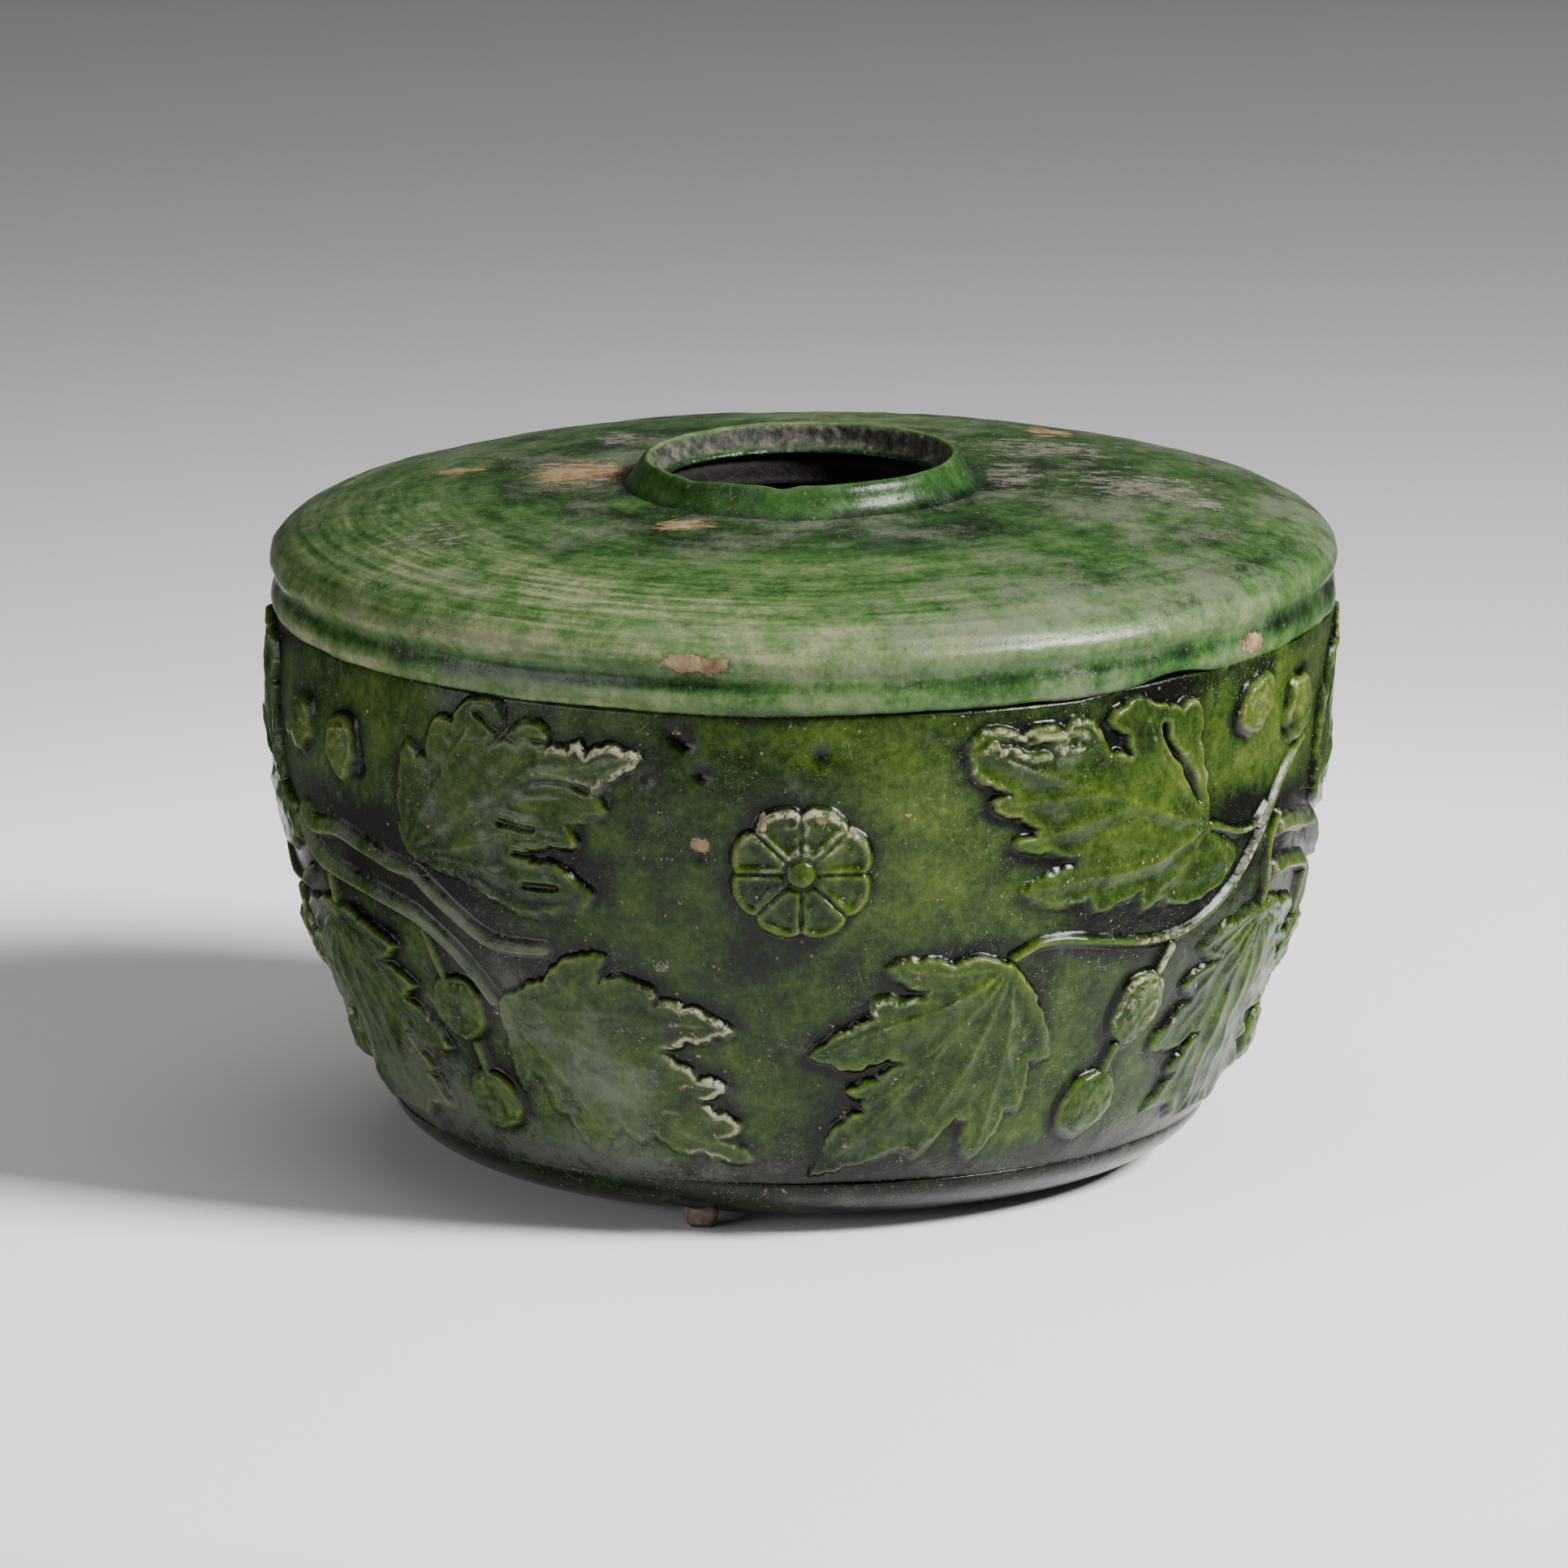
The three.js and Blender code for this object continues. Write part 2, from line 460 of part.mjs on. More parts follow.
function spray(index, { centre, moves, buds, climbs }) {
  const number = index + 1;
  const panelOf = name => (LEFT_HALF.test(name) ? index : index + 1);
  Object.entries(LEAVES).forEach(([name, drawing]) => {
    const move = moves[name.replace('leaf_', '')] ?? 0;
    add(`${name}_${number}`, leaf(panelOf(name), drawing, move), GREEN);
  });
  add(`leaf_middle_${number}`, leaf(index, middleLeaf(), MIDDLE + centre), GREEN);
  Object.entries(BERRIES).forEach(([name, drawing]) => {
    const move = moves[LEFT_HALF.test(name) ? 'left' : 'right'] ?? 0;
    add(`${name}_of_${number}`, berry(panelOf(name), drawing, move), GREEN);
  });
  buds.forEach((at, i) => {
    add(`bud_${i + 1}_of_${number}`, berry(index, { at, radius: BUD_RADIUS, stalk: at }, MIDDLE), GREEN);
  });
  const climbsRight = climbs === 'right';
  const stems = climbsRight ? vineToTheRight(centre, moves.right) : vineToTheLeft(centre, moves.lower_left);
  const fromTheRight = name => name.startsWith('ribbon') || (name === 'middle_stalk' && !climbsRight);
  Object.entries(stems).forEach(([name, [path, width]]) => {
    add(`${name}_${number}`, stem(index + (fromTheRight(name) ? 1 : 0), path, width), GREEN);
  });
}

for (let i = 0; i < SPURS; i++) {
  add(`kiln_spur_${i + 1}`, kilnSpur(FIRST_SPUR + 360 * i / SPURS), CLAY);
}
add('base_disc', baseDisc(), GREEN);
add('bowl_wall', bowl(), GREEN);
add('shoulder_slab', shoulder(), BRIGHT_GREEN);
add('mouth_collar', collar(), BRIGHT_GREEN);
SPRAY_PLACES.forEach((places, i) => {
  add(`rosette_${i + 1}`, rosette(i), GREEN);
  spray(i, places);
});

export default pot;
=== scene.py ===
"""Green-glazed water pot with vine relief: its clay, its glaze, the studio light and the camera.

Lengths are in millimetres until a mesh is made. u runs round the bowl from the front rosette towards +X,
and v is the height above the surface that the pot stands on.
"""
import math

import bpy
import numpy as np
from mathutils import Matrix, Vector


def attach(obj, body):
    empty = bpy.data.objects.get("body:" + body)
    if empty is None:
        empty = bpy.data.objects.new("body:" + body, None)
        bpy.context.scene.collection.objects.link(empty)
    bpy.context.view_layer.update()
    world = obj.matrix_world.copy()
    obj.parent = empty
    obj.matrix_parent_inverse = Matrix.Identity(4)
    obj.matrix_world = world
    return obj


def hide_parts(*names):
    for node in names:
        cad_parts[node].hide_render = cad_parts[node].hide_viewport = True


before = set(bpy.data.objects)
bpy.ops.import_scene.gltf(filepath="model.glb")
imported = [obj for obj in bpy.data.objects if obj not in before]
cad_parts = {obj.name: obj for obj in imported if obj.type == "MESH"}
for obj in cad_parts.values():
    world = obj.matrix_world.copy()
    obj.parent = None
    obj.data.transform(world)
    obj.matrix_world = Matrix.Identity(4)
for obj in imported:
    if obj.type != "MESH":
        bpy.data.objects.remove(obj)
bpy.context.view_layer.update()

MM = 0.001

# The bowl
SPRAYS = 3
SPRAY_WIDTH = 129.8                      # from one rosette to the next, on the drawing
ROUND = SPRAYS * SPRAY_WIDTH
GIRTH = ROUND / (2 * math.pi)
SEAM = 67.6                              # height of the joint between wall and slab
FOOT_LINE = 5.6                          # height of the joint between wall and base disc
WALL = 4.6                               # thickness
WALL_PROFILE = [(48.6, 5.6), (51.0, 8.5), (53.3, 12), (55.4, 17), (57.8, 24), (61.1, 34), (63.2, 46), (64.2, 58),
                (64.1, 64), (63.9, 67.6)]

# The relief
CELL = 0.22                              # spacing of the points of a sprig
GLAZE_FILL = 0.17                        # width over which the glaze softens an edge
SKIRT = 1.35                             # a sprig's clay is smeared out this far round its outline
SINK = 0.3                               # and ends this far below the wall
SEAT = 0.55                              # depth of a sprig's back below the wall
RELIEF_LOW, RELIEF_TOP = 6.0, 67.4       # no sprig reaches lower or higher than this
LEAF_EDGE = 1.15                         # height of a crisp leaf's edge
CROWN = 0.3                              # its middle stands this much higher,
DISH = 0.24                              # it is hollowed this deep inside its rim,
VEIN = 0.26                              # and its veins and rim stand this high
RIM = 0.2
GAP_HALF, SLOT_HALF = 0.45, 0.3          # half widths of the cuts between its lobes
CRUST_RISE = 1.2
BERRY_RISE = 1.7
BERRY_STEM_HALF = 0.75
BUD_RADIUS, BUD_LOBES = 3.5, 0.15
STEM_RISE = 0.95
STALK_WIDTH, RIBBON_WIDTH, PETIOLE_WIDTH = 1.1, 1.9, 0.9
RIBBON_LEDGE = 0.4                       # how far a ribbon leans back
ROSETTE_RADIUS, ROSETTE_HEIGHT, PETALS = 8.3, 48.5, 8
ROSETTE_EDGE = 1.15
BOSS_RADIUS = 1.6


# Small tools for numbers on a surface

FAR = 1e9
LUMP_ROWS = 97                           # heights in a table of lumps before it repeats upwards


def ease(value, low, high):
    """Rises smoothly from 0 at low to 1 at high."""
    share = np.clip((np.asarray(value, float) - low) / (high - low), 0, 1)
    return share * share * (3 - 2 * share)


def hump(value, width):
    """1 at 0, falling off on both sides over the width."""
    return np.exp(-(np.asarray(value, float) / width) ** 2)


def smooth_path(points, steps=6):
    """Points along a smooth curve through the given ones."""
    p = np.asarray(points, float)
    ends = np.vstack([2 * p[0] - p[1], p, 2 * p[-1] - p[-2]])
    out = []
    for a, b, c, d in zip(ends[:-3], ends[1:-2], ends[2:-1], ends[3:]):
        for t in np.linspace(0, 1, steps, endpoint=False):
            out.append(0.5 * (2 * b + (c - a) * t + (2 * a - 5 * b + 4 * c - d) * t * t
                              + (3 * b - a - 3 * c + d) * t ** 3))
    return np.array(out + [p[-1]])


def toothed(points, swell=0.09, steps=5):
    """A closed outline through the points, each stretch between two of them slightly convex."""
    p = np.asarray(points, float)
    following = np.roll(p, -1, 0)
    turn = np.sum(p[:, 0] * following[:, 1] - following[:, 0] * p[:, 1])
    if turn < 0:
        p = p[::-1]
        following = np.roll(p, -1, 0)
    out = []
    for a, b in zip(p, following):
        outward = np.array([b[1] - a[1], a[0] - b[0]])
        middle = (a + b) / 2 + swell * outward
        for t in np.linspace(0, 1, steps, endpoint=False):
            out.append((1 - t) ** 2 * a + 2 * t * (1 - t) * (2 * middle - (a + b) / 2) + t * t * b)
    return np.array(out)


def round_gap(u, middle):
    """How far round the pot u lies from the middle, the shorter way."""
    return (u - middle + ROUND / 2) % ROUND - ROUND / 2


def four_way(at, s, t):
    """The value between four neighbours, s of the way across and t of the way up."""
    return (at(0, 0) * (1 - s) + at(1, 0) * s) * (1 - t) + (at(0, 1) * (1 - s) + at(1, 1) * s) * t


def lumps(u, v, size, seed):
    """Random heights from -1 to 1, in lumps of that size. They meet again once round the pot."""
    columns = max(3, round(ROUND / size))
    table = np.random.default_rng(seed).uniform(-1, 1, (columns, LUMP_ROWS))
    x = np.asarray(u, float) / ROUND * columns
    y = np.asarray(v, float) / size
    i, j = np.floor(x).astype(int), np.floor(y).astype(int)
    return four_way(lambda di, dj: table[(i + di) % columns, (j + dj) % LUMP_ROWS],
                    ease(x - i, 0, 1), ease(y - j, 0, 1))


def from_stretch(u, v, a, b):
    """Squared distance from the straight stretch a to b, and the share of it reached at the nearest point."""
    du, dv = b - a
    share = np.clip(((u - a[0]) * du + (v - a[1]) * dv) / (du * du + dv * dv + 1e-12), 0, 1)
    return (u - a[0] - share * du) ** 2 + (v - a[1] - share * dv) ** 2, share


def inside_distance(outline, u, v):
    """How far in from the outline each point lies, negative outside."""
    nearest = np.full(u.shape, FAR)
    crossings = np.zeros(u.shape, int)
    for a, b in zip(outline, np.roll(outline, -1, 0)):
        nearest = np.minimum(nearest, from_stretch(u, v, a, b)[0])
        if a[1] != b[1]:
            crossings += ((a[1] > v) != (b[1] > v)) & (u < a[0] + (v - a[1]) * (b[0] - a[0]) / (b[1] - a[1]))
    return np.where(crossings % 2 == 1, 1, -1) * np.sqrt(nearest)


def path_distance(path, u, v):
    """Distance from a path, and the share of its length reached at the nearest point."""
    lengths = np.hypot(*np.diff(path, axis=0).T)
    total, passed = lengths.sum(), 0.0
    nearest, along = np.full(u.shape, FAR), np.zeros(u.shape)
    for a, b, length in zip(path[:-1], path[1:], lengths):
        gap, share = from_stretch(u, v, a, b)
        along = np.where(gap < nearest, (passed + share * length) / total, along)
        nearest = np.minimum(nearest, gap)
        passed += length
    return np.sqrt(nearest), along


# The wall

profile = smooth_path([(z, r) for r, z in WALL_PROFILE], 12)

# Burst bubbles: u, v, radius, depth
PITS = [(-11.5, 60.4, 1.0, 0.8), (-13.3, 63.9, 0.8, 0.6), (2.2, 62.7, 0.9, 0.6), (-11.5, 50.2, 0.7, 0.35),
        (-17.9, 59.7, 0.9, 0.5), (-14.4, 65, 1.3, 0.5),
        (71, 58, 0.9, 0.6), (118, 33, 0.8, 0.5), (187, 61, 1.0, 0.7), (262, 54, 0.9, 0.6), (-60, 55, 0.9, 0.6)]


def wall_radius(u, v):
    """Radius of the hand-pressed wall, without its relief."""
    turned = np.interp(v, profile[:, 0], profile[:, 1])
    pressed = 0.22 * lumps(u, v, 26, 3) + 0.13 * lumps(u, v, 9, 5) + 0.06 * lumps(u, v, 3.2, 7)
    angle = np.asarray(u, float) / GIRTH
    luted_right = 0.75 * ease(v, 60, 67) * np.clip(np.sin(angle - 0.1), 0, 1)
    drawn_in = (1.1 * np.clip(-np.sin(angle), 0, 1) + 0.4 * np.clip(np.sin(angle), 0, 1)) * hump(v - 17, 8)
    for pit_u, pit_v, reach, depth in PITS:
        luted_right = luted_right - depth * hump(np.hypot(round_gap(u, pit_u), v - pit_v), reach)
    return turned + pressed * ease(v, 5, 9) + luted_right - drawn_in


# The relief, drawn flat. Outlines run from the stalk over the tips and the notches between them.
# worn is u, v, reach and loss of crispness; crust is u, v, half width and half height.

LEAVES = {
    "leaf_lower_left": {
        "outline": [(24.8, 36.2), (20.2, 37), (18.5, 36.3), (14.3, 37.2), (10.3, 36.3), (12.5, 34.2), (15.2, 33.1),
            (15.2, 32.2), (11.9, 31.9), (9.9, 32.4), (8.3, 31.7), (8.7, 29.9), (6.1, 28.4), (3.1, 27), (0.9, 25),
            (3.6, 23.9), (6.1, 23), (8.5, 23.6), (11, 24.4), (13, 23.7), (9.7, 21.7), (7.2, 20.6), (5.6, 20.1),
            (8.3, 18.9), (8.3, 17.6), (5.5, 15.9), (4, 15.2), (3, 11.7), (1.2, 8.7), (3.6, 8.9), (6.3, 10.1),
            (9.5, 10.3), (11.3, 11.6), (13.5, 12.1), (15, 11.5), (16.2, 10.6), (17.5, 12.6), (19.5, 14.6),
            (21, 15.8), (22.4, 15.3), (22.4, 12.8), (24.4, 9.6), (26.3, 12), (28, 15.5), (27.7, 16.6), (30.2, 16.3),
            (30.6, 19), (30, 22.7), (33.2, 22.6), (33, 24.5), (31.5, 27.5), (29.7, 30.5), (27.8, 33.3), (26.8, 35)],
        "veins": [[(25.2, 35.4), (20, 32), (15, 29.9), (10, 28.4), (1.8, 25.1)], [(25.4, 35.2), (19.5, 27.5),
            (12, 18.5), (2.3, 9.4)], [(25.8, 35.2), (26.3, 28), (25.9, 20), (24.6, 11)], [(25.6, 35.2), (22.5, 26),
            (18.8, 18), (16.4, 11.6)], [(26.2, 35), (29.8, 28.5), (32.4, 23.6)], [(24.8, 35.5), (18.5, 35.2),
            (11.5, 36.1)], [(19.8, 28), (15, 24.2), (7, 20.6)], [(15.8, 23), (9.5, 18.5), (5, 15.5)], [(26.3, 25),
            (28.6, 20), (29.9, 17)]],
        "broad": [[(26.4, 34), (30, 28.5), (32, 24.5)]],
        "worn": [(27, 12, 7, 0.5), (14, 10.5, 7, 0.5), (30, 19, 5, 0.3)],
    },
    "leaf_upper_left": {
        "outline": [(53.6, 50.2), (52.6, 53.6), (51.6, 57.2), (51, 60.4), (51.2, 63.4), (50, 65.6), (47.6, 64.9),
            (45.6, 65.3), (43.5, 66), (41.6, 67.2), (39.2, 66.4), (37, 64.6), (39.6, 62.6), (39.9, 60.3),
            (37.4, 60.5), (35.3, 64.3), (33, 65.3), (31, 64.4), (28.5, 65.3), (25.6, 64.5), (21.2, 65),
            (19.6, 63.3), (19.7, 60.2), (21.9, 58.5), (24.4, 57.2), (22.2, 56.3), (22.4, 55.4), (25.6, 54.2),
            (28.3, 52.6), (27.6, 51.6), (25.3, 51.4), (25.6, 50.3), (29.4, 49.5), (33.7, 48.4), (33.3, 47.1),
            (30, 46.4), (26.5, 44.6), (29.4, 42.8), (32.6, 42.5), (35.4, 43), (36.4, 41), (39.6, 41.9),
            (42.7, 42.6), (43.6, 40.3), (46.4, 41.2), (49.3, 40.2), (52.3, 40), (55.2, 40.6), (57.5, 41.8),
            (59.6, 44.2), (58.4, 46), (56, 47.2), (54.2, 48.3)],
        "veins": [[(53.3, 49.6), (52.4, 55), (51.4, 61), (50.2, 65)], [(53.1, 49.8), (48.6, 54.3), (44.4, 59.4),
            (41.6, 66.4)], [(52.9, 49.6), (46, 51.9), (38, 55.4), (29, 59), (22.5, 62)], [(53, 49.3), (47.5, 47.4),
            (42.4, 45.9), (34, 45.4), (27.4, 44.8)], [(53.2, 49), (49.2, 45), (45.6, 42.4), (44, 40.8)],
            [(40, 53.8), (34, 52.6), (26.4, 50.8)], [(36, 56), (30, 56), (23, 56)], [(53.2, 49), (55.5, 46.4),
            (57.8, 43)]],
        "gaps": [[(44.8, 63), (45.6, 60.6), (48.6, 57.4), (51.3, 52.8)]],
        "worn": [(33, 43, 8, 0.55), (24, 45, 5, 0.5), (53, 43, 6, 0.5), (38, 50, 8, 0.2)],
        "crust": (27.5, 62.8, 7.5, 2.0),
    },
    "leaf_lower_right": {
        "outline": [(-39.7, 29.4), (-36.5, 31.2), (-32.2, 32.9), (-30.2, 35.2), (-27.4, 36.8), (-24, 36.9),
            (-24.7, 35), (-24.9, 33.6), (-22.6, 34.2), (-20, 34), (-18.2, 33.2), (-18, 31.3), (-14.6, 31.2),
            (-11.4, 30), (-8.7, 28.1), (-10.8, 27.1), (-14.4, 26.4), (-18, 25.2), (-16, 23.4), (-13.2, 21.6),
            (-9.8, 20.6), (-11.2, 19.4), (-13.6, 18.6), (-11.2, 16.9), (-8.2, 15.4), (-9.4, 14), (-10.8, 13.4),
            (-8.6, 12.4), (-6.6, 10.9), (-7.6, 10.2), (-10.5, 10.5), (-13.6, 11.4), (-16.9, 11.3), (-18.8, 12.4),
            (-20.4, 13.3), (-22.6, 12.2), (-25, 14.6), (-27.4, 12.4), (-30.4, 10.1), (-31.9, 12.2), (-33.3, 14.7),
            (-35.4, 15.3), (-35.6, 17.4), (-36.2, 19), (-37.4, 19.5), (-40, 17.4), (-40.7, 20), (-39.9, 24)],
        "veins": [[(-39.4, 29), (-31, 31.2), (-24.8, 36.2)], [(-39.2, 28.8), (-28, 29.4), (-18, 29.2),
            (-9.6, 28.2)], [(-39, 28.4), (-28, 24.6), (-19, 22.4), (-10.6, 20.6)], [(-39.2, 28.2), (-27, 20.8),
            (-17, 14.6), (-7.4, 10.9)], [(-39.4, 28), (-33, 20), (-27.6, 14.6), (-22.8, 12.8)], [(-39.6, 27.8),
            (-37.2, 20), (-31, 11)], [(-26, 30.4), (-22, 32.2), (-18.8, 33)], [(-18, 17), (-13, 16.4), (-8.8, 15.4)]],
        "worn": [(-36, 14.5, 9, 0.85), (-22, 10.5, 7, 0.8), (-39, 23, 6, 0.6)],
        "veined": 0.5,
    },
    "leaf_upper_right": {
        "outline": [(-51.4, 46.4), (-51.9, 50.5), (-52, 54.6), (-51.6, 57.6), (-50.3, 60.3), (-48.8, 58.6),
            (-46.9, 58.6), (-46.9, 61), (-46.2, 63), (-44.6, 64.2), (-42.8, 63.9), (-41.6, 66.2), (-39.6, 67.1),
            (-37, 67.2), (-36.2, 65.4), (-37.6, 61.6), (-35.4, 63), (-32.8, 64.9), (-30.6, 64.6), (-30.6, 62),
            (-28, 62.2), (-26.2, 63.2), (-25.1, 61.7), (-23, 63.1), (-20.6, 62.8), (-18.6, 61.8), (-20.4, 60.2),
            (-22.8, 58.8), (-24.6, 57.2), (-22.8, 55.2), (-25.4, 54.2), (-27.6, 53.2), (-26.5, 50.4), (-30, 50.2),
            (-33, 49.5), (-32.4, 48), (-28.6, 47.7), (-26.9, 46.2), (-24.9, 44.4), (-25.4, 43.4), (-28.6, 42.2),
            (-31.5, 41.4), (-34.6, 41.2), (-37.5, 42.2), (-40.6, 43.6), (-43.8, 44.8), (-48.5, 45.4)],
        "veins": [[(-51, 46.8), (-50.6, 53), (-50.4, 59.4)], [(-50.8, 46.8), (-46.5, 54), (-42.6, 60),
            (-38.4, 66.2)], [(-50.6, 46.8), (-42, 52.4), (-34, 57.6), (-20, 62)], [(-50.6, 46.6), (-42, 48.6),
            (-34, 51.4), (-27, 51.2)], [(-50.6, 46.4), (-42, 46.6), (-26, 44)], [(-38, 55.2), (-34.6, 60),
            (-32, 64)], [(-34, 55.4), (-28.6, 56), (-23.4, 55.4)]],
        "slots": [[(-39.6, 65.4), (-37.4, 63.8), (-34.6, 62.6)], [(-34.6, 48.8), (-30.6, 48.9), (-27.2, 49.3)],
            [(-32, 57.9), (-28.4, 58.3), (-25, 57.5)], [(-31.8, 63), (-27.4, 62.6)], [(-36.4, 52.4), (-32.2, 52)],
            [(-33.6, 44.8), (-29.4, 45)]],
        "worn": [(-49, 58, 6, 0.6), (-30, 57, 7, 0.5), (-44, 45, 8, 0.6), (-34, 63, 6, 0.6)],
        "veined": 0.75,
    },
}
MIDDLE_LEAF = {
    "half": [(0.8, 36.2), (3.4, 36.4), (6.1, 35.4), (9.8, 34.9), (13.3, 33.3), (10.9, 31.6), (8.4, 30.8),
        (11.8, 30.2), (14.9, 28.6), (13.4, 27.4), (12.3, 26.6), (15.2, 24.4), (18, 20.9), (15, 20.4), (12, 20.1),
        (9.6, 21.8), (8.4, 21.2), (10.2, 18.8), (12.3, 17.2), (10.4, 16.4), (12.8, 14.2), (14.2, 12.3),
        (11.6, 12.6), (9, 12.4), (7.2, 10.6), (5.4, 9.6), (3, 10.2)],
    "point": (0, 9.9),
    "veins": [[(0, 35.6), (0, 24), (0, 11)], [(0.2, 35.2), (3.6, 26), (5.2, 10.6)], [(0.3, 35.3), (7, 25),
        (13.4, 13)], [(0.3, 35.4), (9, 29), (16.6, 21.6)], [(0.3, 35.6), (7, 33.4), (13.8, 29)], [(0.4, 35.8),
        (6, 35), (12.6, 33.2)]],
}

BERRIES = {
    "berry_left_1": {"at": (46, 27.3), "radius": 4.45, "stalk": (49.6, 34.6)},
    "berry_left_2": {"at": (41.4, 15.4), "radius": 4.5, "stalk": (44, 22.4)},
    "berry_right_1": {"at": (-46.9, 27.2), "radius": 4.5, "stalk": (-49.9, 36.6)},
    "berry_right_2": {"at": (-45.2, 15.3), "radius": 4.2, "stalk": (-46, 22.4)},
}
STALK_LEFT = [(26.2, 36.3), (27.6, 37), (29.4, 37.8), (33, 38), (38.4, 37.1), (44.4, 36.1), (50.2, 36.1)]
RIBBON_UPPER = [(-54.8, 44.3), (-50.7, 43.9), (-47.3, 41.7), (-44, 39.5), (-40.3, 37.4), (-37, 36.7), (-32, 36.9)]
RIBBON_LOWER = [(-54.8, 39.3), (-51.1, 38.4), (-47.3, 36.3), (-44, 33.8), (-41.9, 31.4), (-40.4, 29.2)]
MIDDLE = SPRAY_WIDTH / 2

SPRAY_PLACES = [
    {"centre": 4, "moves": {"upper_right": 5, "lower_right": 5, "right": 5}, "buds": [(-3.1, 62.6), (8.1, 60.2)],
     "climbs": "right"},
    {"centre": 3, "moves": {"upper_right": 4.5, "lower_right": 3.5, "right": 4}, "buds": [(-3.4, 62.4), (7.4, 60.4)],
     "climbs": "right"},
    {"centre": -4.6, "moves": {"upper_left": -8, "lower_left": -2.6, "left": -5}, "buds": [(1.7, 57.2), (-9.3, 58)],
     "climbs": "left"},
]
# Where each rosette's relief is rubbed flat, from its middle
ROSETTE_WEAR = [(-0.3, 5), (4.5, -3), (-5, 1)]


def softened(height):
    """The height as the glaze leaves it, its sharpest edges filled."""
    for axis in (0, 1):
        weights = hump(np.arange(-2, 3) * CELL, GLAZE_FILL)
        weights = weights / weights.sum()
        padded = np.pad(height, [(2, 2) if axis == k else (0, 0) for k in (0, 1)], mode="edge")
        count = height.shape[axis]
        height = sum(w * np.take(padded, np.arange(i, i + count), axis) for i, w in enumerate(weights))
    return height


class Sprig:
    """One moulded piece: a window of the drawing, and its height off the wall over that window."""
    every = []

    def __init__(self, name, low, high):
        self.name = name
        self.columns = np.arange(math.floor((low[0] - SKIRT - 1) / CELL), math.ceil((high[0] + SKIRT + 1) / CELL) + 1)
        floor_row, top_row = math.ceil(RELIEF_LOW / CELL), math.floor(RELIEF_TOP / CELL)
        self.rows = np.arange(max(floor_row, math.floor((low[1] - SKIRT - 1) / CELL)),
                              min(top_row, math.ceil((high[1] + SKIRT + 1) / CELL)) + 1)
        self.u, self.v = np.meshgrid(self.columns * CELL, self.rows * CELL)
        Sprig.every.append(self)

    def settle(self, inside, height):
        """inside is the distance in from the sprig's edge, height what stands on the wall there."""
        self.inside = inside
        self.height = softened(height - SINK * ease(-inside, 0.45, SKIRT))


def leaf(name, outline, veins, move, broad=(), gaps=(), slots=(), worn=(), veined=1.0, crust=None):
    outline = toothed(outline) + (move, 0)
    sprig = Sprig(name, outline.min(0), outline.max(0))
    u, v = sprig.u, sprig.v
    ragged = 0.2 * lumps(u, v, 1.3, 11) + 0.14 * lumps(u, v, 0.6, 12)
    inside = inside_distance(outline, u, v) + ragged
    for half_width, cuts in ((GAP_HALF, gaps), (SLOT_HALF, slots)):
        for cut in cuts:
            away, _ = path_distance(smooth_path(cut) + (move, 0), u, v)
            inside = np.minimum(inside, away - half_width * (1 + 0.6 * lumps(u, v, 1.6, 26)))
    ribs, folds = np.zeros(u.shape), np.zeros(u.shape)
    for vein in veins:
        away, along = path_distance(smooth_path(vein) + (move, 0), u, v)
        strength = veined * (1 - 0.55 * along)
        ribs = np.maximum(ribs, strength * (VEIN * hump(away, 0.34) + 0.16 * hump(away, 1.0)))
        folds = np.maximum(folds, strength * hump(away - 1.7, 0.9))
    for ridge in broad:
        away, along = path_distance(smooth_path(ridge) + (move, 0), u, v)
        ribs = np.maximum(ribs, 0.4 * hump(away, 1.1))
    crisp = np.clip(0.74 + 0.55 * lumps(u, v, 7, 23) + 0.25 * lumps(u, v, 3, 24), 0.12, 1)
    for wu, wv, reach, loss in worn:
        crisp = crisp * (1 - loss * hump(np.hypot(u - wu - move, v - wv), reach))
    body = CROWN * (1 - np.exp(-np.maximum(inside, 0) / 5)) - DISH * hump(inside - 1.9, 1.1) + ribs - 0.22 * folds
    body = body + 0.16 * lumps(u, v, 5, 21) + 0.09 * lumps(u, v, 1.8, 22)
    side = 1.25 - 0.95 * crisp
    rim = RIM * crisp * crisp * (1 + 0.8 * lumps(u, v, 1.7, 25)) * hump(inside - 0.4, 0.3)
    height = (LEAF_EDGE * (0.38 + 0.62 * crisp) * ease(inside, -side, 0.7 * side) + rim
              + body * ease(inside, 0.2, 1.5) * (0.45 + 0.55 * crisp))
    if crust:
        cu, cv, across, up = crust
        place = hump((u - cu - move) / across, 1) * hump((v - cv) / up, 1)
        wrinkles = 0.3 + 0.8 * lumps(0.8 * u + 0.5 * v, 1.2 * v, 1.5, 31) + 0.5 * lumps(u, v, 0.8, 32)
        height = height + CRUST_RISE * ease(place, 0.3, 0.6) * np.clip(wrinkles, 0, 1.2) * ease(inside, -0.6, 0.4)
    sprig.settle(inside, height)


